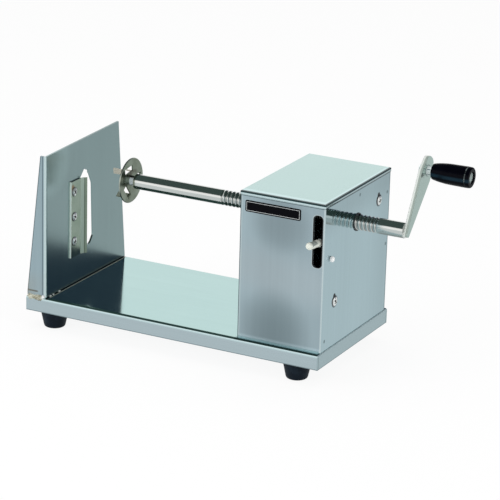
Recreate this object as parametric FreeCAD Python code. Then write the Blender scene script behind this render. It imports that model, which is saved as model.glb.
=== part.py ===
import FreeCAD
import Part
import math
import os

# Hand cranked spiral potato cutter: a folded base tray carries a blade plate at its left end and a closed
# housing at its right end. A threaded shaft runs through the housing. A crank on its right end turns it,
# and the pronged disc on its left end drives the potato into the blade.
# +X runs along the shaft to the crank, +Y to the back, +Z up. Lengths are millimetres, angles degrees.

# Base tray: one folded sheet, open below
base_length = 311.5
base_depth = 150.0
base_flange = 15.0
base_sheet = 1.5
base_bend = 2.5
corner_slit = 0.4

# Rubber feet, each held by a screw from below into a weld nut under the sheet
foot_drop = 17.5
foot_diameter = 27.6
foot_toe_diameter = 20.6
foot_toe_round = 1.2
foot_inset_left = 22.0
foot_inset_right = 28.5
foot_inset_side = 16.5
foot_recess_diameter = 12.4
foot_recess_depth = 15.0
foot_screw_head = (8.5, 3.3)
foot_washer = (11.6, 1.0)

# Blade plate at the left end, a sheet with its front edge folded to the left
plate_place = 22.0
plate_sheet = 2.0
plate_bend = 2.5
plate_height_front = 140.6
plate_height_back = 143.8
plate_back_inset = 0.5
plate_taper = 15.0
plate_flange_top = 6.0
plate_flange_bottom = 20.5
plate_flange_heel = 5.0
weld_radius = 3.4
weld_behind = 2.2
weld_sunk = 1.2

# Opening through the plate beside the blade, measured from the shaft axis
opening_left = 13.0
opening_right_top = 10.0
opening_right_bottom = 12.4
opening_shoulder = 2.6
opening_step = 4.7
opening_rise = 6.0
opening_peak = 4.5
opening_depth = 74.0
opening_toe = (6.0, 7.5)
skewer_hole_diameter = 6.4

# Slicing blade: flat part screwed to the plate, lip folded up to the cutting edge
blade_sheet = 1.5
blade_length = 76.5
blade_top_gap = 2.0
blade_back = 32.0
blade_fold = 14.0
blade_edge = 8.0
blade_lift = 5.2
blade_bevel = 2.6
blade_screw_line = 25.7
blade_screw_first = 12.7
blade_screw_pitch = 25.0
blade_screw_count = 3
blade_screw_head = (9.3, 1.6)
screw_end = 1.0

# Threaded shaft
shaft_height = 106.7
shaft_diameter = 14.7
shaft_overhang = 48.2
shaft_chamfer = 0.6
thread_pitch = 4.0
thread_turns_out = 14

# Pronged disc and its hub at the left end of the shaft
disc_gap = 48.1
disc_diameter = 44.0
disc_sheet = 1.5
hub_diameter = 9.6
hub_length = 5.2
prong_count = 3
prong_angle = 109.0
prong_radius = 12.2
prong_skew = 11.0
prong_width = 5.2
prong_length = 12.0
prong_bend = 0.8
window_length = 12.8
window_slack = 0.3

# Skewer bush, a sleeve in the nose of the shaft
skewer_bore = 5.2
skewer_bush_diameter = 8.0
skewer_bush_length = 38.0

# Housing: two folded shells and a lid
housing_inset = 0.5
housing_length = 85.0
housing_depth = 139.2
housing_height = 141.0
housing_sheet = 1.2
housing_bend = 2.0
housing_return = 12.0
lid_sheet = 1.5
lid_overhang = 0.7
lid_gap = 0.5
lid_clip = (10.0, 12.0, 62.0)
bracket_sheet = 1.5
bracket_leg = 18.0
bracket_height = 14.0
bracket_foot_gap = 1.1
bracket_screw_inset = 7.0
bracket_screw_head = (7.0, 2.4)

# Guide bushes where the shaft passes through the housing
bush_sleeve_diameter = 17.2
bush_flange_diameter = 22.0
bush_flange = 1.5
bush_proud = 0.6

# Release lever: a bar behind the right panel, with a half nut over the shaft and a pin through the front slot
slot_inset = 6.5
slot_width = 8.2
slot_bottom = -25.9
slot_top = 23.6
lever_sheet = 3.0
lever_height = 9.2
lever_end = 66.0
lever_drop = 3.4
lever_arch = 19.0
lever_arch_leg = 12.0
lever_crown = 8.0
lever_shoulder = (13.0, 5.0, 10.0)
lever_crown_round = (2.0, 6.0)
lever_belly_round = (1.0, 4.0)
pivot_place = (46.0, 8.4)
lever_pin_diameter = 6.6
lever_pin_dome = (7.0, 2.4)
lever_pin_reach = 14.0
lever_pin_tilt = 7.0
lever_pin_lap = 4.0
pivot_spacer_diameter = 9.0
half_nut_turns = 3
half_nut_width = 22.0
half_nut_foot = 1.0
half_nut_screw = (7.5, 3.9)
half_nut_screw_depth = 8.0
half_nut_screw_head = (5.4, 1.6)
panel_screw_head = (10.0, 1.8)
anchor_place = (-43.2, -64.3)
anchor_reach = 8.0
stop_place = (-55.1, -20.1)
stop_diameter = 3.6
stop_reach = 8.0
stop_head = (5.6, 3.6)

# Return spring between the anchor screw and the lever
spring_diameter = 6.0
spring_wire = 0.9
spring_hook = 1.5

# Crank
crank_throw = 60.3
crank_angle = 53.6
arm_sheet = 4.0
arm_foot_reach = 6.2
arm_foot_width = 5.6
arm_wide_place = 55.0
arm_wide_width = 23.0
arm_wide_round = 12.0
arm_head_reach = 13.3
arm_head_width = 15.6
arm_weld_leg = 1.0
spindle_diameter = 6.0
inner_nut = (9.6, 3.4)
outer_nut = (8.4, 4.8)
spindle_head = (8.4, 3.0)
spindle_stub = 1.0

# Turning grip
grip_length = 38.6
grip_neck_radius = 7.3
grip_shoulder = (6.5, 8.7)
grip_swell = (15.0, 9.6)
grip_body_radius = 9.9
grip_rim_radius = 9.6
grip_rim = 3.6
grip_groove = (0.9, 0.5)
cup_diameter = 11.0
cup_depth = 7.0
cup_wall = 0.7
cup_sunk = 1.6

# Fasteners shared by several pieces, as thread diameter and nut (across flats, height)
screw_m5 = 5.0
nut_m5 = (8.0, 4.0)
screw_m4 = 4.0
nut_m4 = (7.0, 3.2)
screw_m3 = 3.0

# A rounded end uses this share of half its width
full_round = 0.98

# Named clearances
seat_fit = 0.05
running_fit = 0.09
hole_play = 0.2
free_gap = 0.3

# Places that follow from these sizes
base_top = foot_drop + base_flange
axis = base_top + shaft_height
front = -base_depth / 2
blade_edge_x = plate_place + blade_lift
disc_left = plate_place + disc_gap
disc_right = disc_left + disc_sheet
shaft_left = disc_right + hub_length
housing_right = base_length - housing_inset
housing_left = housing_right - housing_length
housing_side = housing_depth / 2
plate_back_bottom = base_depth - plate_back_inset
plate_back_top = plate_back_bottom - plate_taper
bracket_left = housing_left + housing_return + free_gap
bracket_right = base_length - foot_inset_right - foot_diameter / 2 - bracket_foot_gap
lid_top = base_top + housing_height
lid_under = lid_top - lid_sheet
panel_top = lid_under - lid_gap
shaft_right = housing_right + shaft_overhang
thread_left = housing_left - thread_turns_out * thread_pitch
arm_right = shaft_right + arm_sheet
grip_left = arm_right + outer_nut[1] + free_gap
grip_right = grip_left + grip_length
cup_floor = grip_right - cup_sunk - cup_depth
shaft_radius = shaft_diameter / 2
slot_place = housing_right - slot_inset
lever_left = slot_place - lever_sheet / 2
lever_right = slot_place + lever_sheet / 2
panel_inside = housing_right - housing_sheet
half_nut_left = lever_left - half_nut_turns * thread_pitch
lever_top = pivot_place[1] + lever_crown
pin_root = -lever_end + lever_pin_lap
pin_slope = math.tan(math.radians(lever_pin_tilt))
pin_tip = front - lever_pin_reach
origin = FreeCAD.Vector(grip_right / 2, (pin_tip + base_depth / 2) / 2, 0)

X = FreeCAD.Vector(1, 0, 0)
Y = FreeCAD.Vector(0, 1, 0)
Z = FreeCAD.Vector(0, 0, 1)


def at(x, y, z):
    return FreeCAD.Vector(x, y, z)


def outline(corners, place, bevelled=False):
    """A closed wire through (u, v, radius) corners, each rounded by its radius, set in space by place(u, v).

    When it is bevelled, each corner is cut straight across between the ends of its round."""
    points = [place(u, v) for u, v, radius in corners]
    edges = []
    ends = []
    for i, here in enumerate(points):
        radius = corners[i][2]
        back = (points[i - 1] - here).normalize()
        ahead = (points[(i + 1) % len(points)] - here).normalize()
        if radius == 0:
            ends.append((here, here))
            continue
        half = back.getAngle(ahead) / 2
        start = here + back * (radius / math.tan(half))
        stop = here + ahead * (radius / math.tan(half))
        middle = here + (back + ahead).normalize() * (radius / math.sin(half) - radius)
        arc = Part.Arc(start, middle, stop).toShape()
        edges.append(Part.makeLine(start, stop) if bevelled else arc)
        ends.append((start, stop))
    for i in range(len(points)):
        if ends[i - 1][1].distanceToPoint(ends[i][0]) > 1e-6:
            edges.append(Part.makeLine(ends[i - 1][1], ends[i][0]))
    return Part.Wire(Part.__sortEdges__(edges))


def along_x(corners, low, high):
    """The (y, z) outline, extruded from one x to another."""
    return Part.Face(outline(corners, lambda y, z: at(low, y, z))).extrude(X * (high - low))


def along_y(corners, low, high):
    """The (x, z) outline, extruded from one y to another."""
    return Part.Face(outline(corners, lambda x, z: at(x, low, z))).extrude(Y * (high - low))


def along_z(corners, low, high):
    """The (x, y) outline, extruded from one z to another."""
    return Part.Face(outline(corners, lambda x, y: at(x, y, low))).extrude(Z * (high - low))


def turned(corners, start, direction):
    """The (distance along the axis, radius) outline, turned round an axis that leaves start."""
    face = Part.Face(outline(corners, lambda along, radius: at(radius, 0, along), bevelled=True))
    solid = face.revolve(at(0, 0, 0), Z, 360)
    solid.Placement = FreeCAD.Placement(start, FreeCAD.Rotation(Z, direction))
    return solid


def shaft_turned(corners):
    """The (x, radius) outline, turned round the shaft axis."""
    return turned(corners, at(0, 0, axis), X)


def box(x, y, z):
    return Part.makeBox(x[1] - x[0], y[1] - y[0], z[1] - z[0], at(x[0], y[0], z[0]))


def rod(start, direction, length, diameter):
    return Part.makeCylinder(diameter / 2, length, start, direction)


def hole_x(x, y, z, diameter):
    """A drill along X between two x places, a little longer than the wall at each end."""
    return rod(at(x[0] - 1, y, z), X, x[1] - x[0] + 2, diameter)


def pan_screw(seat, direction, thread, length, head):
    """A screw whose head seats at a point, with its shank along a direction."""
    wide, high = head
    crown = wide / 2 - high * 0.6
    corners = [(-high, 0, 0), (-high, crown, 0), (0, wide / 2, 0)]
    corners += [(0, thread / 2, 0), (length, thread / 2, 0), (length, 0, 0)]
    return turned(corners, seat, direction)


def hex_nut(seat, direction, size, thread):
    """A hexagon nut that seats at a point and stands along a direction."""
    flats, high = size
    reach = flats / math.sqrt(3)
    turns = [math.radians(60 * i) for i in range(6)]
    corners = [(reach * math.cos(turn), reach * math.sin(turn), 0) for turn in turns]
    nut = along_z(corners, 0, high)
    nut = nut.cut(rod(at(0, 0, -1), Z, high + 2, thread + 2 * seat_fit))
    nut.Placement = FreeCAD.Placement(seat, FreeCAD.Rotation(Z, direction))
    return nut


def ring_edges(solid, z):
    """The edges of a solid that lie flat at a height."""
    return [e for e in solid.Edges if abs(e.BoundBox.ZMin - z) < 1e-6 and abs(e.BoundBox.ZMax - z) < 1e-6]


def bracket_screw_places():
    return [bracket_left + bracket_screw_inset, bracket_right - bracket_screw_inset]


def bracket_screw_line():
    return housing_side - housing_sheet - bracket_sheet - bracket_leg / 2


# Base


def base_tray():
    """The folded tray: its front and back flanges run the full length, with the end flanges butted inside."""
    side = base_depth / 2
    tray = box((0, base_length), (-side, side), (foot_drop, base_top))
    tray = tray.makeFillet(base_bend, ring_edges(tray, base_top))
    inside = side - base_sheet
    roof = base_top - base_sheet
    hollow = box((base_sheet, base_length - base_sheet), (-inside, inside), (foot_drop - 5, roof))
    tray = tray.cut(hollow.makeFillet(base_bend - base_sheet, ring_edges(hollow, roof)))
    for x in (0, base_length - base_sheet):
        for low in (-inside, inside - corner_slit):
            reach = (foot_drop - 1, base_top - base_bend)
            tray = tray.cut(box((x - 1, x + base_sheet + 1), (low, low + corner_slit), reach))
    for y in (-bracket_screw_line(), bracket_screw_line()):
        for x in bracket_screw_places():
            tray = tray.cut(rod(at(x, y, roof - 1), Z, base_sheet + 2, screw_m4 + 2 * hole_play))
    return tray


def foot_places():
    left = foot_inset_left
    right = base_length - foot_inset_right
    side = base_depth / 2 - foot_inset_side
    return {"front_left": (left, -side), "front_right": (right, -side),
            "back_left": (left, side), "back_right": (right, side)}


def foot(x, y):
    """A tapered rubber foot with a recess for the screw below and a pocket for the weld nut above."""
    top = base_top - base_sheet
    pocket = nut_m5[0] / math.sqrt(3) + free_gap
    nut_low = top - nut_m5[1] - free_gap
    corners = [(0, foot_recess_diameter / 2, 0), (0, foot_toe_diameter / 2, foot_toe_round)]
    corners += [(foot_drop, foot_diameter / 2, 0), (top, foot_diameter / 2, 0), (top, pocket, 0)]
    corners += [(nut_low, pocket, 0), (nut_low, screw_m5 / 2 + hole_play, 0)]
    corners += [(foot_recess_depth, screw_m5 / 2 + hole_play, 0), (foot_recess_depth, foot_recess_diameter / 2, 0)]
    return turned(corners, at(x, y, 0), Z)


def foot_fasteners(x, y):
    """The screw, washer and weld nut of a foot."""
    seat = foot_recess_depth - foot_washer[1]
    top = base_top - base_sheet
    screw = pan_screw(at(x, y, seat), Z, screw_m5, top - seat - seat_fit, foot_screw_head)
    washer = rod(at(x, y, seat), Z, foot_washer[1], foot_washer[0])
    washer = washer.cut(rod(at(x, y, seat - 1), Z, foot_washer[1] + 2, screw_m5 + 2 * seat_fit))
    nut = hex_nut(at(x, y, top - nut_m5[1]), Z, nut_m5, screw_m5)
    return screw, washer, nut


# Blade plate and blade


def opening_outline():
    """The opening through the plate, as (y, z) corners: a tall slot with a peaked top over the shaft axis."""
    low = axis - opening_depth
    toe_wide, toe_high = opening_toe
    corners = [(-opening_left, low, 2.0), (-opening_left, axis - opening_shoulder, 1.5)]
    corners += [(-opening_peak, axis + opening_rise, 2.5), (opening_step, axis - opening_shoulder, 2.0)]
    corners += [(opening_right_top, axis - opening_left, 8.0)]
    corners += [(opening_right_bottom, low + toe_high, 4.0), (opening_right_bottom - toe_wide, low, 5.0)]
    return corners


def blade_screw_places():
    first = axis - blade_screw_first
    return [first - blade_screw_pitch * i for i in range(blade_screw_count)]


def blade_plate():
    """The upright plate: an L folded at its front edge, trimmed to a leaning back edge and a tapered flange."""
    left = plate_place - plate_sheet
    back = front + plate_back_bottom
    high = base_top + plate_height_back
    fold = [(plate_place, front, plate_bend), (plate_place, back, 0), (left, back, 0)]
    fold += [(left, front + plate_sheet, plate_bend - plate_sheet), (0, front + plate_sheet, 0), (0, front, 0)]
    plate = along_z(fold, base_top, high)
    side = [(front - 1, base_top, 0), (back, base_top, 0), (front + plate_back_top, high, 0)]
    side += [(front - 1, base_top + plate_height_front, 0)]
    plate = plate.common(along_x(side, -1, plate_place + 1))
    face = [(plate_place + 1, base_top, 0), (plate_place + 1, high, 0), (plate_place - plate_flange_top, high, 0)]
    face += [(plate_place - plate_flange_bottom, base_top + plate_flange_heel, 3.0)]
    face += [(plate_place - plate_flange_bottom, base_top, 0)]
    plate = plate.common(along_y(face, front - 1, back + 1))
    plate = plate.cut(along_x(opening_outline(), left - 1, plate_place + 1))
    plate = plate.cut(hole_x((left, plate_place), 0, axis, skewer_hole_diameter))
    for z in blade_screw_places():
        plate = plate.cut(hole_x((left, plate_place), -blade_screw_line, z, screw_m5 + 2 * hole_play))
    return plate


def plate_weld(tray, plate):
    """The bead in the corner where the plate's folded flange stands on the rounded edge of the tray."""
    start = plate_place - plate_flange_bottom
    centre = at(start, front + weld_behind, base_top - weld_sunk)
    bead = rod(centre, X, plate_flange_bottom - plate_bend, 2 * weld_radius)
    rest = bead.cut(tray).cut(plate)
    return max(rest.Solids, key=lambda solid: solid.Volume)


def blade():
    """The slicing blade, its lip folded off the plate and ground to an edge on the underside."""
    under = plate_place
    over = plate_place + blade_sheet
    rise = math.atan2(blade_lift - blade_sheet, blade_fold - blade_edge)
    run = blade_sheet * math.tan(rise / 2)
    heel = blade_fold - run
    tip = blade_edge + blade_bevel
    under_tip = under + (heel - tip) * math.tan(rise)
    corners = [(under, -blade_back, 0), (over, -blade_back, 0), (over, -blade_fold, 1.5)]
    corners += [(plate_place + blade_lift, -blade_edge, 0), (under_tip, -tip, 0), (under, -heel, 1.5 + blade_sheet)]
    top = axis - blade_top_gap
    solid = along_z(corners, top - blade_length, top)
    for z in blade_screw_places():
        solid = solid.cut(hole_x((under, over), -blade_screw_line, z, screw_m5 + 2 * hole_play))
    return solid


def blade_fasteners(z):
    """One screw through the blade and the plate, and its nut behind."""
    grip = blade_sheet + plate_sheet + nut_m5[1] + screw_end
    screw = pan_screw(at(plate_place + blade_sheet, -blade_screw_line, z), X * -1, screw_m5, grip, blade_screw_head)
    nut = hex_nut(at(plate_place - plate_sheet, -blade_screw_line, z), X * -1, nut_m5, screw_m5)
    return screw, nut


# Housing


def shell_front():
    """The front panel and the right panel, one sheet folded at the front right corner, with the lever slot."""
    side = housing_side
    sheet = housing_sheet
    corners = [(housing_left, -side, 0), (housing_right, -side, housing_bend), (housing_right, side, 0)]
    corners += [(housing_right - sheet, side, 0), (housing_right - sheet, -side + sheet, housing_bend - sheet)]
    corners += [(housing_left, -side + sheet, 0)]
    shell = along_z(corners, base_top, panel_top)
    half = slot_width / 2
    end = half * full_round
    low = axis + slot_bottom
    high = axis + slot_top
    slot = [(slot_place - half, low, end), (slot_place + half, low, end)]
    slot += [(slot_place + half, high, end), (slot_place - half, high, end)]
    shell = shell.cut(along_y(slot, -side - 1, -side + sheet + housing_bend / 2))
    wall = (panel_inside, housing_right)
    shell = shell.cut(hole_x(wall, 0, axis, bush_sleeve_diameter + 2 * seat_fit))
    for y, z in (pivot_place, anchor_place):
        shell = shell.cut(hole_x(wall, y, axis + z, screw_m5 + 2 * seat_fit))
    return shell.cut(hole_x(wall, stop_place[0], axis + stop_place[1], stop_diameter + 2 * seat_fit))


def shell_back():
    """The left panel and the back panel, with a return strip at each end that lies inside the front shell."""
    sheet = housing_sheet
    outer = housing_side
    left = housing_left
    end = panel_inside
    near = -housing_side + sheet
    bend = housing_bend
    corners = [(left + housing_return, near, 0), (left, near, bend), (left, outer, bend), (end, outer, bend)]
    corners += [(end, outer - housing_return, 0), (end - sheet, outer - housing_return, 0)]
    corners += [(end - sheet, outer - sheet, bend - sheet), (left + sheet, outer - sheet, bend - sheet)]
    corners += [(left + sheet, near + sheet, bend - sheet), (left + housing_return, near + sheet, 0)]
    shell = along_z(corners, base_top, panel_top)
    return shell.cut(hole_x((left, left + sheet), 0, axis, bush_sleeve_diameter + 2 * seat_fit))


def housing_lid():
    """The lid plate with an angle clip welded under its front and back edges, which grips the panels inside."""
    over = lid_overhang
    side = housing_side + over
    corners = [(housing_left - over, -side, 1.0), (housing_right + over, -side, 1.0)]
    corners += [(housing_right + over, side, 1.0), (housing_left - over, side, 1.0)]
    lid = along_z(corners, lid_under, lid_top)
    lid = lid.makeFillet(lid_sheet * 0.4, ring_edges(lid, lid_top))
    leg, drop, length = lid_clip
    middle = (housing_left + housing_right) / 2
    inside = housing_side - housing_sheet
    for way in (-1, 1):
        face = way * inside
        angle = [(face, lid_under, 0), (face, lid_under - drop, 0), (face - way * housing_sheet, lid_under - drop, 0)]
        angle += [(face - way * housing_sheet, lid_under - housing_sheet, 0)]
        angle += [(face - way * leg, lid_under - housing_sheet, 0), (face - way * leg, lid_under, 0)]
        lid = lid.fuse(along_x(angle, middle - length / 2, middle + length / 2))
    return lid.removeSplitter()


def housing_bracket(way):
    """An angle inside the foot of the front (-1) or back (1) panel, with two weld nuts on its lower leg."""
    inside = way * (housing_side - housing_sheet)
    sheet = bracket_sheet
    high = base_top + bracket_height
    corners = [(inside, base_top, 0), (inside, high, 0), (inside - way * sheet, high, 0)]
    corners += [(inside - way * sheet, base_top + sheet, 1.0), (inside - way * (bracket_leg + sheet), base_top + sheet, 0)]
    corners += [(inside - way * (bracket_leg + sheet), base_top, 0)]
    angle = along_x(corners, bracket_left, bracket_right)
    for x in bracket_screw_places():
        place = at(x, way * bracket_screw_line(), base_top + sheet)
        angle = angle.fuse(hex_nut(place, Z, nut_m4, screw_m4))
        angle = angle.cut(rod(place - Z * (sheet + 1), Z, sheet + nut_m4[1] + 2, screw_m4 + 2 * seat_fit))
    return angle


def bracket_screw(x, way):
    """A screw from under the tray up into a bracket's weld nut."""
    seat = at(x, way * bracket_screw_line(), base_top - base_sheet)
    return pan_screw(seat, Z, screw_m4, base_sheet + bracket_sheet + nut_m4[1], bracket_screw_head)


def guide_bush(face, way):
    """A flanged bush round the shaft. Its flange seats on a panel's inner face, and its sleeve looks out."""
    bore = shaft_radius + running_fit
    out = housing_sheet + bush_proud
    corners = [(-bush_flange, bore, 0), (-bush_flange, bush_flange_diameter / 2, 0)]
    corners += [(0, bush_flange_diameter / 2, 0), (0, bush_sleeve_diameter / 2, 0)]
    corners += [(out, bush_sleeve_diameter / 2, 0), (out, bore, 0)]
    return turned(corners, at(face, 0, axis), X * way)


# Release lever


def lever_bar():
    """The bar: from the pivot over the shaft in an arch, then down to the pin at the front slot."""
    py, pz = pivot_place
    crown = axis + lever_top
    foot_top = axis - lever_drop + lever_height / 2
    foot_low = foot_top - lever_height
    arch = lever_arch / 2
    end_round = crown - axis - pz
    shoulder_out, shoulder_high, shoulder_round = lever_shoulder
    crown_out, crown_round = lever_crown_round
    belly_out, belly_round = lever_belly_round
    corners = [(-lever_end, foot_low, 1.5), (-lever_end, foot_top, 1.5)]
    corners += [(-arch - shoulder_out, axis + shoulder_high, shoulder_round), (-arch - crown_out, crown, crown_round)]
    corners += [(py + end_round, crown, end_round * full_round)]
    corners += [(py + end_round, crown - 2 * end_round, end_round * full_round)]
    corners += [(-arch - belly_out, crown - 2 * end_round, belly_round)]
    bar = along_x(corners, lever_left, lever_right)
    bar = bar.cut(hole_x((lever_left, lever_right), 0, axis, lever_arch))
    leg = axis - lever_arch_leg
    below = [(-arch, axis, 0), (arch, axis, 0), (arch, leg, 0), (-arch, leg, 0)]
    bar = bar.cut(along_x(below, lever_left - 1, lever_right + 1))
    bar = bar.cut(hole_x((lever_left, lever_right), py, axis + pz, screw_m5 + 2 * running_fit))
    for y, z in half_nut_screw_places():
        bar = bar.cut(hole_x((lever_left, lever_right), y, z, screw_m3 + 2 * seat_fit))
    return bar


def half_nut_screw_places():
    side, below = half_nut_screw
    high = axis + lever_top - below
    return [(-side, high), (side, high)]


def half_nut():
    """The saddle over the upper half of the shaft, clear of its thread crests by a named gap."""
    half = half_nut_width / 2
    corners = [(-half, axis + half_nut_foot, 0), (-half, axis + lever_top, 2.0)]
    corners += [(half, axis + lever_top, 2.0), (half, axis + half_nut_foot, 0)]
    block = along_x(corners, half_nut_left, lever_left)
    block = block.cut(hole_x((half_nut_left, lever_left), 0, axis, shaft_diameter + 2 * free_gap))
    for y, z in half_nut_screw_places():
        block = block.cut(rod(at(lever_left, y, z), X * -1, half_nut_screw_depth + 1, screw_m3 + 2 * seat_fit))
    return block


def half_nut_screws():
    """Two screws that hold the half nut to the bar."""
    length = lever_sheet + half_nut_screw_depth
    return [pan_screw(at(lever_right, y, z), X * -1, screw_m3, length, half_nut_screw_head)
            for y, z in half_nut_screw_places()]


def lever_pin(bar):
    """The round pin that reaches out through the slot, slit at its root to sit on the end of the bar."""
    direction = at(0, -1, pin_slope).normalize()
    start = at(slot_place, pin_root, axis - lever_drop)
    wide, high = lever_pin_dome
    radius = lever_pin_diameter / 2
    length = (pin_root - pin_tip) / math.cos(math.radians(lever_pin_tilt))
    corners = [(0, 0, 0), (0, radius, 0), (length - 2 * high, radius, 0), (length - 2 * high, wide / 2, 0)]
    corners += [(length - high, wide / 2, 0), (length - high / 4, wide / 3, 0), (length, wide / 8, 0), (length, 0, 0)]
    return turned(corners, start, direction).cut(bar)


def pivot_spacer():
    """The tube that keeps the bar off the right panel."""
    py, pz = pivot_place
    tube = rod(at(lever_right, py, axis + pz), X, panel_inside - lever_right, pivot_spacer_diameter)
    return tube.cut(hole_x((lever_right, panel_inside), py, axis + pz, screw_m5 + 2 * seat_fit))


def pivot_screw():
    """The screw that the lever turns on, with its head outside the right panel."""
    py, pz = pivot_place
    length = housing_right - lever_left + hole_play + nut_m5[1] + screw_end
    return pan_screw(at(housing_right, py, axis + pz), X * -1, screw_m5, length, panel_screw_head)


def pivot_nut():
    py, pz = pivot_place
    return hex_nut(at(lever_left - hole_play, py, axis + pz), X * -1, nut_m5, screw_m5)


def anchor_screw():
    """The screw that holds the lower end of the return spring."""
    y, z = anchor_place
    length = housing_sheet + nut_m5[1] + anchor_reach
    return pan_screw(at(housing_right, y, axis + z), X * -1, screw_m5, length, panel_screw_head)


def anchor_nut():
    y, z = anchor_place
    return hex_nut(at(panel_inside, y, axis + z), X * -1, nut_m5, screw_m5)


def stop_rivet():
    """The domed rivet whose shank stops the lever when no shaft is in the housing."""
    y, z = stop_place
    wide, high = stop_head
    corners = [(-high, 0, 0), (-high, wide / 5, 0), (-high * 0.85, wide / 2.8, 0), (-high / 2, wide / 2, 0)]
    corners += [(-high / 4, wide / 2, 0), (0, wide / 2.5, 0), (0, stop_diameter / 2, 0)]
    corners += [(stop_reach, stop_diameter / 2, 0), (stop_reach, 0, 0)]
    return turned(corners, at(housing_right, y, axis + z), X * -1)


def lever_spring():
    """The return spring's envelope: a coil tube with an eye round the anchor screw at its lower end."""
    y, z = anchor_place
    low = axis + z + nut_m5[0] / 2 + spring_hook
    length = lever_bar_under(y - spring_diameter / 2) - free_gap - low
    tube = rod(at(slot_place, y, low), Z, length, spring_diameter)
    tube = tube.cut(rod(at(slot_place, y, low + spring_wire), Z, length, spring_diameter - 2 * spring_wire))
    eye_radius = screw_m5 / 2 + hole_play + spring_wire / 2
    eye_start = at(slot_place - spring_wire / 2, y, axis + z)
    eye = rod(eye_start, X, spring_wire, 2 * eye_radius + spring_wire)
    eye = eye.cut(rod(eye_start - X, X, spring_wire + 2, 2 * eye_radius - spring_wire))
    neck = rod(at(slot_place, y, axis + z + eye_radius), Z, low - axis - z - eye_radius + spring_wire / 2, spring_wire)
    return tube.fuse(eye).fuse(neck)


def lever_bar_under(y):
    """The height of the bar's lower edge at a place between the slot and the arch."""
    start = -lever_end
    stop = -lever_arch / 2 - lever_belly_round[0]
    low = axis - lever_drop - lever_height / 2
    high = axis + pivot_place[1] * 2 - lever_top
    return low + (high - low) * (y - start) / (stop - start)


# Threaded shaft with the disc and the crank


def screw_shaft():
    """The round shaft, bored at its nose for the skewer bush."""
    bore = skewer_bush_diameter / 2 + running_fit
    deep = shaft_left + skewer_bush_length + free_gap
    corners = [(shaft_left, bore, 0), (shaft_left, shaft_radius, shaft_chamfer), (shaft_right, shaft_radius, 0)]
    corners += [(shaft_right, 0, 0), (deep, 0, 0), (deep, bore, 0)]
    return shaft_turned(corners)


def skewer_bush():
    """The sleeve that holds the wooden skewer in line with the shaft."""
    outer = skewer_bush_diameter / 2
    start = shaft_left + free_gap
    stop = shaft_left + skewer_bush_length
    corners = [(start, skewer_bore / 2, 0), (start, outer, 0), (stop, outer, 0), (stop, skewer_bore / 2, 0)]
    return shaft_turned(corners)


def disc_hub():
    """The turned hub between the shaft's nose and the disc, bored for the skewer."""
    outer = hub_diameter / 2
    inner = skewer_bore / 2
    corners = [(disc_left, inner, 0), (disc_left, outer, 0.5), (shaft_left, outer, 0), (shaft_left, inner, 0)]
    return shaft_turned(corners)


def prong(turn):
    """One prong, punched from its window and folded to the left at the window's leading end.

    Its fold is drawn in the plane of the disc's tangent and the shaft, at the top of a turn from +Y."""
    fold = window_length / 2
    reach = fold + disc_sheet + prong_bend
    tip = disc_left - prong_length
    corners = [(fold, disc_right, prong_bend + disc_sheet), (reach + 1, disc_right, 0), (reach + 1, disc_left, 0)]
    corners += [(fold + disc_sheet, disc_left, prong_bend), (fold + disc_sheet, tip, 0.6), (fold, tip, 0.6)]
    low = prong_radius - prong_width / 2
    face = Part.Face(outline(corners, lambda tangent, x: at(x, low, axis + tangent)))
    tab = face.extrude(Y * prong_width)
    window = box((disc_left - 1, disc_right + 1), (low - window_slack, low + prong_width + window_slack),
                 (axis - fold, axis + reach))
    for piece in (tab, window):
        piece.rotate(at(0, prong_radius, axis), X, -prong_skew)
        piece.rotate(at(0, 0, axis), X, turn)
    return tab, window


def prong_disc():
    """The disc: a plate with three windows and the three prongs folded out of them."""
    disc = shaft_turned([(disc_left, hub_diameter / 2 + seat_fit, 0), (disc_left, disc_diameter / 2, 0.4),
                         (disc_right, disc_diameter / 2, 0.4), (disc_right, hub_diameter / 2 + seat_fit, 0)])
    pieces = [prong(prong_angle + 360 / prong_count * i) for i in range(prong_count)]
    for tab, window in pieces:
        disc = disc.cut(window)
    for tab, window in pieces:
        disc = disc.fuse(tab)
    return disc.removeSplitter()


def crank_spot(along):
    """The point at a distance along the crank arm from the shaft axis, in the plane x = 0."""
    turn = math.radians(crank_angle)
    return at(0, along * math.cos(turn), axis + along * math.sin(turn))


def arm_outline(more=0):
    """The arm's outline in its own plane: a narrow foot that widens to the head. It can be drawn larger all round."""
    turn = math.radians(crank_angle)
    foot = arm_foot_width / 2 + more
    wide = arm_wide_width / 2 + more
    head = arm_head_width / 2 + more
    low = -arm_foot_reach - more
    high = crank_throw + arm_head_reach + more
    corners = [(low, -foot, foot * full_round), (arm_wide_place, -wide, arm_wide_round), (high, -head, head * full_round)]
    corners += [(high, head, head * full_round), (arm_wide_place, wide, arm_wide_round), (low, foot, foot * full_round)]

    def spot(along, across):
        return crank_spot(along) + at(shaft_right, -across * math.sin(turn), across * math.cos(turn))

    return Part.Face(outline(corners, spot))


def crank_arm():
    """The flat arm, welded to the end of the shaft by its narrow foot and drilled in its head for the spindle."""
    arm = arm_outline().extrude(X * arm_sheet)
    place = crank_spot(crank_throw) + X * (shaft_right - 1)
    return arm.cut(rod(place, X, arm_sheet + 2, spindle_diameter + 2 * seat_fit))


def arm_weld(arm):
    """The weld bead on the end face of the shaft, round the foot of the arm."""
    bead = arm_outline(arm_weld_leg).extrude(X * arm_weld_leg)
    return bead.common(rod(at(shaft_right, 0, axis), X, arm_weld_leg, shaft_diameter)).cut(arm)


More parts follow.
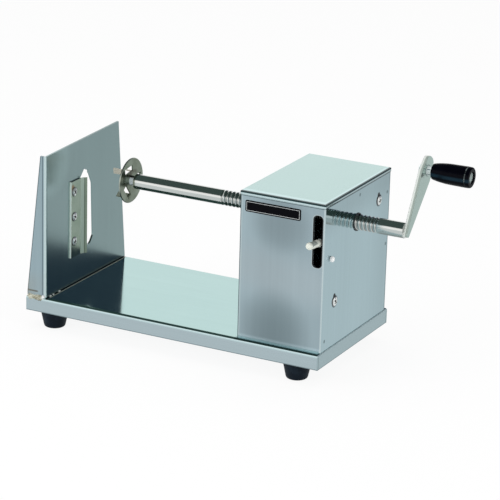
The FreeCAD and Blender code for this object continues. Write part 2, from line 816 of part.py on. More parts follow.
def grip_spindle():
    """The bolt through the arm that the grip turns on. Its head lies in the cup at the grip's end."""
    place = crank_spot(crank_throw)
    radius = spindle_diameter / 2
    wide, high = spindle_head
    head = cup_floor + cup_wall + free_gap
    start = shaft_right - inner_nut[1] - spindle_stub
    corners = [(start, 0, 0), (start, radius, 0.5), (head, radius, 0), (head, wide / 2, 0)]
    corners += [(head + high, wide / 2, 1.0), (head + high, 0, 0)]
    return turned(corners, place, X)


def grip():
    """The turning grip: a neck that swells into a long barrel, a groove and a rim with a recess for the cup."""
    bore = spindle_diameter / 2 + running_fit
    groove_wide, groove_deep = grip_groove
    rim = grip_right - grip_rim
    recess = cup_diameter / 2 + seat_fit
    shoulder, shoulder_radius = grip_shoulder
    swell, swell_radius = grip_swell
    corners = [(grip_left, bore, 0), (grip_left, grip_neck_radius, 1.4), (grip_left + shoulder, shoulder_radius, 0)]
    corners += [(grip_left + swell, swell_radius, 0), (rim - groove_wide, grip_body_radius, 0)]
    corners += [(rim - groove_wide, grip_body_radius - groove_deep, 0), (rim, grip_body_radius - groove_deep, 0)]
    corners += [(rim, grip_body_radius, 0.3), (grip_right, grip_rim_radius, 1.2), (grip_right, recess, 0.4)]
    corners += [(cup_floor, recess, 0), (cup_floor, bore, 0)]
    return turned(corners, crank_spot(crank_throw), X)


def grip_end_cup():
    """The metal cup pressed into the end of the grip."""
    outer = cup_diameter / 2
    bore = spindle_diameter / 2 + running_fit
    end = cup_floor + cup_depth
    corners = [(cup_floor, bore, 0), (cup_floor, outer, 0), (end, outer, 0), (end, outer - cup_wall, 0)]
    corners += [(cup_floor + cup_wall, outer - cup_wall, 0), (cup_floor + cup_wall, bore, 0)]
    return turned(corners, crank_spot(crank_throw), X)


def spindle_nuts():
    """The nut behind the arm and the hexagon collar in front of it."""
    place = crank_spot(crank_throw)
    inner = hex_nut(place + X * shaft_right, X * -1, inner_nut, spindle_diameter)
    outer = hex_nut(place + X * arm_right, X, outer_nut, spindle_diameter)
    return inner, outer


# Every piece by its name


def pieces():
    made = {}
    made["base_tray"] = base_tray()
    for name, (x, y) in foot_places().items():
        screw, washer, nut = foot_fasteners(x, y)
        made["foot_" + name] = foot(x, y)
        made["foot_screw_" + name] = screw
        made["foot_washer_" + name] = washer
        made["foot_nut_" + name] = nut
    made["blade_plate"] = blade_plate()
    made["plate_weld"] = plate_weld(made["base_tray"], made["blade_plate"])
    made["blade"] = blade()
    for number, z in enumerate(blade_screw_places(), 1):
        screw, nut = blade_fasteners(z)
        made[f"blade_screw_{number}"] = screw
        made[f"blade_nut_{number}"] = nut
    made["housing_front_shell"] = shell_front()
    made["housing_back_shell"] = shell_back()
    made["housing_lid"] = housing_lid()
    for name, way in (("front", -1), ("back", 1)):
        made["housing_bracket_" + name] = housing_bracket(way)
        for number, x in enumerate(bracket_screw_places(), 1):
            made[f"bracket_screw_{name}_{number}"] = bracket_screw(x, way)
    made["guide_bush_left"] = guide_bush(housing_left + housing_sheet, -1)
    made["guide_bush_right"] = guide_bush(panel_inside, 1)
    made["pivot_screw"] = pivot_screw()
    made["pivot_spacer"] = pivot_spacer()
    made["pivot_nut"] = pivot_nut()
    made["anchor_screw"] = anchor_screw()
    made["anchor_nut"] = anchor_nut()
    made["stop_rivet"] = stop_rivet()
    made["lever_spring"] = lever_spring()
    made["lever_bar"] = lever_bar()
    made["half_nut"] = half_nut()
    for number, screw in enumerate(half_nut_screws(), 1):
        made[f"half_nut_screw_{number}"] = screw
    made["lever_pin"] = lever_pin(made["lever_bar"])
    made["skewer_bush"] = skewer_bush()
    made["screw_shaft"] = screw_shaft()
    made["disc_hub"] = disc_hub()
    made["prong_disc"] = prong_disc()
    made["crank_arm"] = crank_arm()
    made["arm_weld"] = arm_weld(made["crank_arm"])
    made["grip_spindle"] = grip_spindle()
    made["spindle_nut_inner"], made["spindle_nut_outer"] = spindle_nuts()
    made["grip"] = grip()
    made["grip_end_cup"] = grip_end_cup()
    return made


os.makedirs("parts", exist_ok=True)
for name, shape in pieces().items():
    shape.translate(origin * -1)
    shape.exportStep(f"parts/{name}.step")

shift = at(0, 0, axis) - origin
pivot = at(slot_place, pivot_place[0], axis + pivot_place[1]) - origin
spindle = crank_spot(crank_throw) - origin
print("shaft axis at", shift, "lever pivot at", pivot, "grip axis at", spindle)
print("disc travel to the blade edge", disc_left - prong_length - blade_edge_x)
print("shaft travel out of the half nut", half_nut_left - thread_left)
print("half nut from", half_nut_left - origin.x, "origin", origin)
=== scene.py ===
import math

import bpy
import numpy as np
from mathutils import Matrix, Vector


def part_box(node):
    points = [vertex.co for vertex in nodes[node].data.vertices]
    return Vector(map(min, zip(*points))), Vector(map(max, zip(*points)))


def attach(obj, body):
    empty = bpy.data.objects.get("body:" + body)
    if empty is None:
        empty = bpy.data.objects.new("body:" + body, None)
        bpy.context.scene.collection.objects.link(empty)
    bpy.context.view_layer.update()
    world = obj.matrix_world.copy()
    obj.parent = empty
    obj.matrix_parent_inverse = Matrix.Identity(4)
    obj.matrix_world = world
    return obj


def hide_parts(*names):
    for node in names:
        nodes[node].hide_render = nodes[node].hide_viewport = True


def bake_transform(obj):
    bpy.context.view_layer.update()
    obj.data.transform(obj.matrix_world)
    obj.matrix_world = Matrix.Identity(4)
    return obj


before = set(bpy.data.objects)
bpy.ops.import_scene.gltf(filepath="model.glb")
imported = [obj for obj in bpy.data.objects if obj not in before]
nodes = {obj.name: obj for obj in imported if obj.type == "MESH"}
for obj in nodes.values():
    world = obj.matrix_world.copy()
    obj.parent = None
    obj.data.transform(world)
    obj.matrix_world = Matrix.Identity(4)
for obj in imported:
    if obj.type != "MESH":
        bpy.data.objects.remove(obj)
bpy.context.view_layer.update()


# Studio. A long lens looks down on the cutter from its crank end. The floor and the world are white to the lens and
# a plain level to everything else. Three soft lamps light it, and one black card and the dark top of the world give
# the bright steel something to show.

lens_place = Vector((1.039284, -2.029336, 0.861413))
lens_axes = [
    (0.885862, 0.463187, 0.026587),
    (-0.170096, 0.270931, 0.947451),
    (0.431644, -0.843833, 0.318794),
]
lens = bpy.data.cameras.new("lens")
lens.lens = 184.49
lens.sensor_width = 36.0
lens.clip_end = 50.0
camera = bpy.data.objects.new("camera", lens)
camera.matrix_world = Matrix.Translation(lens_place) @ Matrix(lens_axes).transposed().to_4x4()
bpy.context.scene.collection.objects.link(camera)
bpy.context.scene.camera = camera
bpy.context.scene.view_settings.view_transform = "Standard"


class Value:
    """A socket of a node tree. Python's operators on it add Math nodes."""

    def __init__(self, work, socket):
        self.work = work
        self.socket = socket

    def math(self, operation, *numbers):
        return self.work.node("ShaderNodeMath", {"operation": operation}, dict(enumerate(numbers)))

    def __add__(self, other):
        return self.math("ADD", self, other)

    __radd__ = __add__

    def __sub__(self, other):
        return self.math("SUBTRACT", self, other)

    def __rsub__(self, other):
        return self.math("SUBTRACT", other, self)

    def __mul__(self, other):
        return self.math("MULTIPLY", self, other)

    __rmul__ = __mul__

    def __truediv__(self, other):
        return self.math("DIVIDE", self, other)

    def __abs__(self):
        return self.math("ABSOLUTE", self)

    def above(self, other):
        """The greater of the two."""
        return self.math("MAXIMUM", self, other)

    def root(self):
        """The square root."""
        return self.math("SQRT", self)

    def far(self, other):
        """The square of a distance whose two parts are this and the other."""
        return self * self + other * other

    def step(self, low, high):
        """0 below low and 1 above high, with a smooth rise between. Low may be the greater of the two."""
        settings = {"interpolation_type": "SMOOTHSTEP"}
        if low < high:
            return self.work.node("ShaderNodeMapRange", settings, {"Value": self, 1: low, 2: high})
        return 1 - self.work.node("ShaderNodeMapRange", settings, {"Value": self, 1: high, 2: low})


class Work:
    """The node tree of a material or of the world, and the few ways in which nodes are added to it."""

    def __init__(self, tree):
        self.tree = tree
        self.tree.nodes.clear()

    def node(self, kind, settings, sockets, output=0):
        """Adds a node of a type: its settings first, then its sockets by name or number, each a value or a link."""
        made = self.tree.nodes.new(kind)
        for name, value in settings.items():
            setattr(made, name, value)
        for name, value in sockets.items():
            if isinstance(value, Value):
                self.tree.links.new(value.socket, made.inputs[name])
            else:
                made.inputs[name].default_value = value
        return Value(self, made.outputs[output]) if made.outputs else made

    def noise(self, scale, stretch=(1, 1, 1), detail=2.0, turn=(0, 0, 0)):
        """A noise from 0 to 1 in the object's own place, with its scale per metre stretched along the axes."""
        place = self.node("ShaderNodeTexCoord", {}, {}, "Object")
        place = self.node("ShaderNodeMapping", {}, {"Vector": place, "Rotation": turn, "Scale": stretch})
        return self.node("ShaderNodeTexNoise", {}, {"Vector": place, "Scale": scale, "Detail": detail})

    def place(self):
        """The object's own x, y and z."""
        place = self.node("ShaderNodeTexCoord", {}, {}, "Object")
        split = self.node("ShaderNodeSeparateXYZ", {}, {"Vector": place})
        outputs = split.socket.node.outputs
        return [Value(self, outputs[axis]) for axis in "XYZ"]

    def mix(self, amount, first, second):
        """The colour first, turning to second as the amount goes from 0 to 1."""
        settings = {"data_type": "RGBA", "clamp_factor": True}
        colours = [c if isinstance(c, Value) else (*c, 1.0) for c in (first, second)]
        return self.node("ShaderNodeMix", settings, {0: amount, 6: colours[0], 7: colours[1]}, 2)

    def cover(self, colour, *layers):
        """A colour under layers of (amount, colour), each laid over those before it."""
        for amount, layer in layers:
            colour = self.mix(amount, colour, layer)
        return colour

    def shade(self, colour, amount):
        """A colour made lighter or darker by an amount."""
        return self.node("ShaderNodeVectorMath", {"operation": "SCALE"}, {0: colour, "Scale": amount})


class Finish(Work):
    """A material. On a piece of the cutter it ends in one Principled shader."""

    def __init__(self, name):
        self.material = bpy.data.materials.new(name)
        self.material.use_nodes = True
        super().__init__(self.material.node_tree)

    def surface(self, colour, metal, rough, bump, depth, strength, others=()):
        """Ends the material. The bump is a height from 0 to 1, depth metres high. Others are any more sockets."""
        normal = self.node("ShaderNodeBump", {}, {"Height": bump, "Distance": depth, "Strength": strength})
        sockets = {"Base Color": colour, "Metallic": metal, "Roughness": rough, "Normal": normal, **dict(others)}
        shader = self.node("ShaderNodeBsdfPrincipled", {}, sockets)
        self.node("ShaderNodeOutputMaterial", {}, {"Surface": shader})
        return self

    def paint(self, *names):
        """Puts this finish on CAD nodes by name."""
        for name in names:
            for slot in nodes[name].material_slots:
                slot.material = self.material


def ray_kinds(work):
    """Two values: 1 on a ray from the lens, and 1 on a ray that a mirror or a glass sends on."""
    ray = work.node("ShaderNodeLightPath", {}, {}).socket.node.outputs
    glossy = Value(work, ray["Is Glossy Ray"])
    return Value(work, ray["Is Camera Ray"]), glossy.above(Value(work, ray["Is Transmission Ray"]))


def flat_object(name, corners, finish):
    """An object with one face."""
    mesh = bpy.data.meshes.new(name)
    mesh.from_pydata(corners, [], [(0, 1, 2, 3)])
    mesh.materials.append(finish.material)
    made = bpy.data.objects.new(name, mesh)
    bpy.context.scene.collection.objects.link(made)
    return made


floor_finish = Finish("floor paper")
seen, shown = ray_kinds(floor_finish)
paper = floor_finish.node("ShaderNodeBsdfDiffuse", {}, {"Color": (0.95, 0.95, 0.95, 1)})
white = floor_finish.node("ShaderNodeEmission", {}, {"Color": (1, 1, 1, 1), "Strength": 1.0})
grey = floor_finish.node("ShaderNodeEmission", {}, {"Color": (0.66, 0.70, 0.71, 1), "Strength": 1.0})
to_lens = floor_finish.node("ShaderNodeMixShader", {}, {0: seen * 0.9, 1: paper, 2: white})
to_steel = floor_finish.node("ShaderNodeMixShader", {}, {0: shown, 1: to_lens, 2: grey})
floor_finish.node("ShaderNodeOutputMaterial", {}, {"Surface": to_steel})
floor_half = 6.0
floor_corners = [(along * floor_half, across * floor_half, 0) for along, across in ((-1, -1), (1, -1), (1, 1), (-1, 1))]
floor = flat_object("floor", floor_corners, floor_finish)

card_finish = Finish("black card")
card_dark = card_finish.node("ShaderNodeEmission", {}, {"Color": (0.060, 0.076, 0.114, 1), "Strength": 1.0})
card_finish.node("ShaderNodeOutputMaterial", {}, {"Surface": card_dark})
card_corners = [(0.10, 1.45, 0.03), (1.15, 0.85, 0.03), (1.15, 0.85, 1.05), (0.10, 1.45, 1.05)]
card = flat_object("black_card", card_corners, card_finish)
card.visible_camera = card.visible_diffuse = card.visible_shadow = card.visible_transmission = False

world = bpy.data.worlds.new("studio")
bpy.context.scene.world = world
world.use_nodes = True
sky = Work(world.node_tree)
seen, shown = ray_kinds(sky)
direction = sky.node("ShaderNodeTexCoord", {}, {}, "Generated")
height = sky.node("ShaderNodeSeparateXYZ", {}, {"Vector": direction}, 2)
tent = sky.mix(height.step(0.53, 0.38), (0.045, 0.070, 0.064), (1.0, 1.0, 1.0))
level = sky.cover((0.66, 0.66, 0.66), (shown, tent), (seen, (1.0, 1.0, 1.0)))
light = sky.node("ShaderNodeBackground", {}, {"Color": level, "Strength": 1.0})
sky.node("ShaderNodeOutputWorld", {}, {"Surface": light})


def soft_lamp(name, place, size, watts):
    """A rectangular lamp at a place that shines at the cutter's middle. No mirror shows it."""
    data = bpy.data.lights.new(name, "AREA")
    data.shape = "RECTANGLE"
    data.size, data.size_y = size
    data.energy = watts
    lamp = bpy.data.objects.new(name, data)
    turn = (Vector(place) - Vector((0, 0, 0.1))).to_track_quat("Z", "Y")
    lamp.matrix_world = Matrix.Translation(place) @ turn.to_matrix().to_4x4()
    lamp.visible_glossy = lamp.visible_camera = False
    bpy.context.scene.collection.objects.link(lamp)


soft_lamp("key", (-0.82, -1.42, 0.86), (1.2, 0.5), 11.0)
soft_lamp("crank_side", (1.7, -0.5, 1.0), (0.5, 0.9), 6.0)
soft_lamp("top", (-0.1, 0.2, 1.9), (1.4, 1.4), 7.0)


# Base tray. One sheet of bright stainless with its four sides folded down, which everything else stands on. The top is
# nearly a mirror, and the rolling grain runs along the tray. Painted shade lies on the strip in front of the housing,
# round the plate's foot and along the sides' bottom edge; a highlight is painted on the front fold, the strip beside
# the right panel is painted light, and the sides and the right end are painted in tones of their own for how light
# falls.

tray_low, tray_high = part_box("base_tray")
tray_top = tray_high[2]
plate_face = -0.18145
shell_low, shell_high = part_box("housing_front_shell")
housing_left, housing_front = shell_low[:2]
housing_right, housing_back = shell_high[:2]

tray = Finish("tray steel")
x, y, z = tray.place()
grain = tray.noise(260, (0.03, 1, 1), 4.0)
cloud = tray.noise(14, (1, 1.6, 1), 3.0)
side = z.step(tray_top - 0.0009, tray_top - 0.0021)
# Painted highlight along the bend of the tray's front fold.
fold_highlight = z.step(tray_top - 0.0036, tray_top - 0.0026)
# Painted shade: a dark line along the bottom edge of the folded sides.
under = z.step(tray_low[2] + 0.0010, tray_low[2] + 0.0005)
# Painted shade on the narrow strip of tray in front of the housing's foot.
ledge_shade = y.step(housing_front - 0.0001, housing_front - 0.0008) * x.step(housing_left - 0.0015, housing_left)
joint = x.step(plate_face + 0.0030, plate_face + 0.0026) * x.step(plate_face + 0.0014, plate_face + 0.0018)
joint = joint * y.step(-0.0640, -0.0630)
# Painted shade: a nearly black line round the plate's foot on the tray.
contact_shade = x.step(plate_face + 0.0016, plate_face + 0.0012) * x.step(plate_face - 0.0006, plate_face - 0.0002)
# Painted light: the strip beside the right panel is painted pale and less metallic, in place of its dark reflection.
painted_light_strip = x.step(housing_right - 0.0004, housing_right) * (1 - side)
end = x.step(tray_high[0] - 0.0012, tray_high[0] - 0.0004)
heat = side * x.step(-0.172, -0.186) * y.step(-0.060, -0.066) * cloud.step(0.35, 0.60)
tone = tray.cover(
    tray.mix(cloud, (0.430, 0.640, 0.622), (0.470, 0.680, 0.660)),
    (ledge_shade * 0.6, (0.10, 0.19, 0.22)),
    (joint, (0.34, 0.36, 0.28)),
    (contact_shade * 0.9, (0.02, 0.03, 0.03)),
    (painted_light_strip * 0.7, (0.80, 0.92, 0.92)),
    # The folded sides are painted lighter than the top and the right end darker, for how light falls on each.
    (side, (0.585, 0.680, 0.715)),
    (side * fold_highlight, (0.72, 0.88, 0.90)),
    (side * end, (0.465, 0.575, 0.600)),
    (heat * 0.45, (0.47, 0.46, 0.38)),
    (side * under * 0.7, (0.16, 0.22, 0.24)),
)
tone = tray.shade(tone, 0.96 + 0.08 * grain)
rough = 0.075 + 0.05 * grain + 0.06 * side
metal = 1.0 - 0.85 * joint - 0.5 * painted_light_strip
tray.surface(tone, metal, rough, grain, 0.00002, 0.25)
tray.paint("base_tray")


# Feet. Four moulded rubber feet with a rounded toe, screwed up into weld nuts under the tray. The skin is smooth with
# a soft sheen, a little dust and a fine mould line round the widest place.

foot_places = ("front_left", "front_right", "back_left", "back_right")
foot_widest = 0.0175


def middle(node):
    """The middle of a CAD node's box."""
    low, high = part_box(node)
    return tuple((low[axis] + high[axis]) / 2 for axis in range(3))


def rounded(corners, steps=6):
    """A profile of (along, radius) points through corners (along, radius, round): each corner that has a round is
    replaced by a curve (1-t)^2 A + 2t(1-t) C + t^2 B between the points A and B at its round from it."""
    spots = np.array([corner[:2] for corner in corners], dtype=float)
    rounds = np.array([corner[2] for corner in corners], dtype=float)
    line = []
    t = np.linspace(0, 1, steps)[:, None]
    for number, spot in enumerate(spots):
        if rounds[number] == 0 or number in (0, len(spots) - 1):
            line.append(spot[None])
            continue
        ends = []
        for other in (spots[number - 1], spots[number + 1]):
            way = other - spot
            ends.append(spot + way / np.linalg.norm(way) * rounds[number])
        line.append((1 - t) ** 2 * ends[0] + 2 * t * (1 - t) * spot + t ** 2 * ends[1])
    return np.concatenate(line)


def skin(grid, loop=False):
    """Points and faces of a closed surface over a grid of points: its columns go round, its rows run along, and loop
    joins its last row to its first. A row whose points are all one place becomes one vertex with triangles round it.
    The faces are turned outwards by the sign of the volume, the sum of p0 . (p1 x p2) / 6."""
    rows, columns = grid.shape[:2]
    number = np.arange(rows * columns).reshape(rows, columns)
    pole = np.ptp(grid, axis=1).max(axis=1) < 1e-9
    number[pole] = number[pole, :1]
    upper = np.roll(number, -1, axis=0) if loop else number[1:]
    lower = number if loop else number[:-1]
    quads = np.stack([lower, np.roll(lower, -1, axis=1), np.roll(upper, -1, axis=1), upper], axis=-1).reshape(-1, 4)
    low_pole = quads[:, 0] == quads[:, 1]
    high_pole = quads[:, 2] == quads[:, 3]
    triangles = np.concatenate([quads[low_pole][:, [0, 2, 3]], quads[high_pole][:, :3]])
    quads = quads[~(low_pole | high_pole)]
    used, faces = np.unique(np.concatenate([quads.ravel(), triangles.ravel()]), return_inverse=True)
    points = grid.reshape(-1, 3)[used]
    quads, triangles = faces[: quads.size].reshape(-1, 4), faces[quads.size :].reshape(-1, 3)
    halves = np.concatenate([quads[:, :3], quads[:, [0, 2, 3]], triangles])
    a, b, c = (points[halves[:, corner]] - points.mean(axis=0) for corner in range(3))
    if (a * np.cross(b, c)).sum() < 0:
        quads, triangles = quads[:, ::-1], triangles[:, ::-1]
    return points, quads.tolist() + triangles.tolist()


def piece(name, grids, finish, body, crease, loop=False):
    """An object of one or more closed surfaces that rides on a body, if one is named, with edges sharper than crease
    degrees kept."""
    points, faces = [], []
    for grid in grids:
        new_points, new_faces = skin(grid, loop)
        start = sum(len(done) for done in points)
        points.append(new_points)
        faces += [[start + corner for corner in face] for face in new_faces]
    mesh = bpy.data.meshes.new(name)
    mesh.from_pydata(np.concatenate(points).tolist(), [], faces)
    mesh.shade_smooth()
    mesh.set_sharp_from_angle(angle=math.radians(crease))
    mesh.materials.append(finish.material)
    made = bpy.data.objects.new(name, mesh)
    bpy.context.scene.collection.objects.link(made)
    if body:
        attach(made, body)
    return made


def spun(profile, start, axis, columns):
    """The surface of a profile turned about an axis: p = start + a along + r (u cos t + v sin t)."""
    axis = np.array(axis, dtype=float) / np.linalg.norm(axis)
    u = np.cross(axis, (0, 0, 1.0) if abs(axis[2]) < 0.9 else (1.0, 0, 0))
    u /= np.linalg.norm(u)
    v = np.cross(axis, u)
    t = np.linspace(0, 2 * np.pi, columns, endpoint=False)
    ring = np.cos(t)[:, None] * u + np.sin(t)[:, None] * v
    along, radius = profile[:, 0], profile[:, 1]
    return np.array(start) + along[:, None, None] * axis + radius[:, None, None] * ring[None]


def even_finish(name, noise, tones, metal, rough, bump):
    """A finish whose colour, roughness and bump follow one noise: tones are its two colours, rough is the lowest and
    the rise, and bump is the depth and the strength."""
    made = Finish(name)
    grain = made.noise(*noise)
    return made.surface(made.mix(grain, *tones), metal, rough[0] + rough[1] * grain, grain, *bump)


rubber = Finish("foot rubber")
dust = rubber.noise(90, detail=5.0)
pores = rubber.noise(1500)
seam = abs(rubber.place()[2] - foot_widest).step(0.0004, 0.0001)
tone = rubber.mix(dust.step(0.45, 0.8), (0.004, 0.009, 0.016), (0.010, 0.019, 0.030))
rubber.surface(tone, 0.0, 0.40 + 0.2 * dust, pores + 1.5 * seam, 0.00006, 0.35, {"Specular IOR Level": 0.12})
foot_corners = [
    (0.0150, 0.0, 0),
    (0.0150, 0.0062, 0),
    (0.0, 0.0062, 0.0006),
    (0.0, 0.0100, 0.0022),
    (foot_widest, 0.0138, 0.0030),
    (0.0308, 0.0138, 0.0005),
    (0.0308, 0.0049, 0),
    (0.0267, 0.0049, 0),
    (0.0267, 0.0, 0),
]
for name in foot_places:
    foot_start = (*middle("foot_" + name)[:2], 0)
    foot = piece("rubber_" + name, [spun(rounded(foot_corners, 8), foot_start, (0, 0, 1), 72)], rubber, "frame", 40)
    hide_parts("foot_" + name)

no_stretch = (1, 1, 1)
zinc_tones = (0.58, 0.60, 0.60), (0.72, 0.73, 0.70)
zinc = even_finish("zinc plate", (420, no_stretch, 4.0), zinc_tones, 1.0, (0.24, 0.16), (0.00003, 0.4))
zinc.paint(*[f"foot_{kind}_{name}" for kind in ("screw", "washer", "nut") for name in foot_places])


# Blade plate. A 2 mm stainless plate that narrows towards its top, with a flange folded back along its front edge and
# a long opening with a shoulder for the blade. It is polished like the tray. A highlight and painted shade mark the
# fold at its flange's nose, painted shade runs along its foot, the flange is painted lighter than the face, and a patch
# high on the face is painted lighter.

plate_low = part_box("blade_plate")[0]
flange_top, flange_heel = 0.1763, 0.0375
flange_narrow, flange_wide = 0.0060, 0.0205

plate = Finish("plate steel")
x, y, z = plate.place()
grain = plate.noise(240, (1, 1, 0.03), 4.0)
cloud = plate.noise(16, (1, 1, 0.7), 3.0)
over_foot = z - plate_low[2]
flange = x.step(plate_face - 0.0016, plate_face - 0.0030)
# Painted highlight along the nose of the flange's fold.
nose = y.step(plate_low[1] + 0.0020, plate_low[1] + 0.0012) * x.step(plate_face - 0.0026, plate_face - 0.0018)
# Painted shade: a dark line in the fold beside the nose.
crease = x.step(plate_face - 0.0046, plate_face - 0.0040) * x.step(plate_face - 0.0030, plate_face - 0.0036)
slant = plate_face - flange_narrow - (flange_wide - flange_narrow) * (flange_top - z) / (flange_top - flange_heel)
border = (x - slant).step(0.0012, 0.0006) * flange
# Painted light: a lighter patch high on the face, towards its front edge.
painted_light_patch = ((y + 0.057) * 28).far((z - 0.163) * 30).step(1.2, 0.0)
scorched = abs(over_foot - 0.0056).step(0.0012, 0.0005) * x.step(plate_face - 0.0080, plate_face - 0.0100)
heat = over_foot.step(0.030, 0.004) * y.step(plate_low[1] + 0.006, plate_low[1] + 0.001)
# Painted shade: a nearly black line along the plate's foot.
foot_shade = over_foot.step(0.0008, 0.0003) * (1 - flange)
tone = plate.mix(cloud, (0.290, 0.385, 0.385), (0.325, 0.425, 0.425))
tone = plate.cover(
    plate.shade(tone, 1.0 + 0.36 * painted_light_patch),
    # The flange is painted lighter than the face, for how the light falls on it.
    (flange, (0.47, 0.585, 0.635)),
    (crease * 0.8, (0.12, 0.18, 0.21)),
    (border * 0.7, (0.12, 0.16, 0.18)),
    (nose * 0.9, (0.86, 1.0, 1.0)),
    (scorched * 0.75, (0.13, 0.11, 0.08)),
    (heat * 0.7 * cloud.step(0.3, 0.6), (0.50, 0.44, 0.34)),
    (foot_shade * 0.8, (0.03, 0.04, 0.04)),
)
tone = plate.shade(tone, 0.94 + 0.12 * grain)
plate.surface(tone, 1.0, 0.22 + 0.07 * grain, grain, 0.00002, 0.25)
plate.paint("blade_plate")


# Weld at the plate's foot. A hand-laid bead fills the corner where the flange stands on the tray's rounded edge, with a
# knob at the fold, painted with a highlight, and three tacks behind it. The metal is tinted straw and brown by the
# heat, and small glints are painted on it.

bead_low, bead_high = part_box("plate_weld")
bead_radius = 0.0044
bead_line = tray_low[1] + 0.0024, tray_top - 0.0006

weld = Finish("weld bead")
x, y, z = weld.place()
burn = weld.noise(300, detail=5.0)
scale = weld.noise(800, detail=3.0)
scorch = z.step(bead_low[2] + 0.0016, bead_low[2] + 0.0004) * x.step(-0.1960, -0.1900)
# Painted highlight: the knob at the fold is painted near white.
knob_highlight = x.step(bead_high[0] - 0.0026, bead_high[0] - 0.0018) * z.step(bead_low[2] + 0.0020, bead_low[2] + 0.0030)
tone = weld.cover(
    weld.mix(burn.step(0.40, 0.66), (0.66, 0.66, 0.55), (0.33, 0.31, 0.21)),
    # Painted glints: small near-white spots on the bead's ripples.
    (scale.step(0.60, 0.75) * 0.7, (0.95, 0.96, 0.92)),
    (scorch * 0.85, (0.16, 0.13, 0.08)),
    (knob_highlight, (0.96, 0.98, 0.97)),
)
weld.surface(tone, 0.45, 0.30 + 0.2 * burn, scale, 0.0002, 0.6)


def bead(start, end, radius, pitch, wave):
    """A weld bead along a straight path: a tube whose radius is r (1 - wave |cos(pi s / pitch)|), swelled and narrowed
    slowly by two sines, and closed by a quarter round at each end."""
    start, end = np.array(start), np.array(end)
    length = np.linalg.norm(end - start)
    s = np.linspace(0, 1, 90)
    swell = 1 - wave * np.abs(np.cos(np.pi * s * length / pitch))
    swell = swell - 0.07 * (1 - np.sin(s * 11.0)) - 0.03 * (1 - np.sin(s * 41.0))
    near_end = np.minimum(np.minimum(s, 1 - s) * length / radius, 1.0)
    swell = swell * np.sqrt(1 - (1 - near_end) ** 2)
    profile = np.stack([s * length, radius * swell], axis=1)
    return spun(profile, start, (end - start) / length, 24)


bead_start, bead_end = (bead_low[0] - 0.0010, *bead_line), (bead_high[0] + 0.0004, *bead_line)
knob_place = np.array((bead_high[0] - 0.0002, tray_low[1] + 0.0002, tray_top + 0.0012))
knob_profile = rounded([(-0.0017, 0.0, 0), (-0.0016, 0.0016, 0.0011), (0.0016, 0.0016, 0.0011), (0.0017, 0.0, 0)])
flange_grids = [bead(bead_start, bead_end, bead_radius, 0.0021, 0.14), spun(knob_profile, knob_place, (1, 0, 0), 24)]
flange_weld = piece("flange_weld", flange_grids, weld, "frame", 60)
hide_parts("plate_weld")

tack_x, tack_z = plate_face + 0.0001, tray_top + 0.0001
tack_spots = [(-0.0612, 0.0030), (-0.0556, 0.0022), (-0.0448, 0.0030)]
tack_grids = [bead((tack_x, y, tack_z), (tack_x, y + long, tack_z), 0.0009, 0.0012, 0.2) for y, long in tack_spots]
tacks = piece("foot_tacks", tack_grids, weld, "frame", 60)


# Blade. Ground blade steel, folded along its left side so that the cutting edge stands off the plate. The flat is dull
# and greenish. A highlight is painted along the front cut edge and the bend, the lip is painted pale and matt, and
# painted shade lines the crease at the ground bevel's foot.

blade_low, blade_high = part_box("blade")
bevel_foot = blade_high[1] - 0.0030

blade = Finish("blade steel")
x, y, z = blade.place()
grain = blade.noise(300, (1, 1, 0.02), 4.0)
stain = blade.noise(60, detail=4.0)
# Painted highlight: a bright stripe along the front cut edge.
edge = y.step(blade_low[1] + 0.0009, blade_low[1] + 0.0005)
# Painted light: the lip between the flat and the bevel is painted pale and nearly matt.
lip = y.step(blade_high[1] - 0.0064, blade_high[1] - 0.0056)
# Painted highlight along the start of the bend.
bend_highlight = x.step(-0.17990, -0.17975) * x.step(-0.1764, -0.1768)
bevel = y.step(bevel_foot, bevel_foot + 0.0005)
# Painted shade: a dark line in the crease at the foot of the bevel.
bevel_crease_shade = bevel * y.step(bevel_foot + 0.0010, bevel_foot + 0.0006)
rust = ((y - blade_low[1] - 0.0035) * 300).far((z - blade_high[2] + 0.0062) * 260).step(1.0, 0.2)
tone = blade.cover(
    blade.mix(stain.step(0.35, 0.7), (0.290, 0.370, 0.290), (0.345, 0.420, 0.345)),
    (lip, (0.80, 0.98, 0.83)),
    (bend_highlight, (0.46, 0.58, 0.50)),
    (bevel, (0.31, 0.40, 0.31)),
    (bevel_crease_shade * 0.8, (0.05, 0.06, 0.05)),
    (rust * 0.75, (0.26, 0.13, 0.05)),
    (edge, (0.84, 1.0, 0.93)),
)
blade.surface(tone, 1.0 - edge - 0.9 * lip, 0.11 + 0.10 * grain, grain, 0.00003, 0.35)
blade.paint("blade")


# Blade screws. Three bright plated pan heads with a cross recess hold the blade, and their nuts are behind the plate.
# Each head has painted shade in its recess and round its rim.


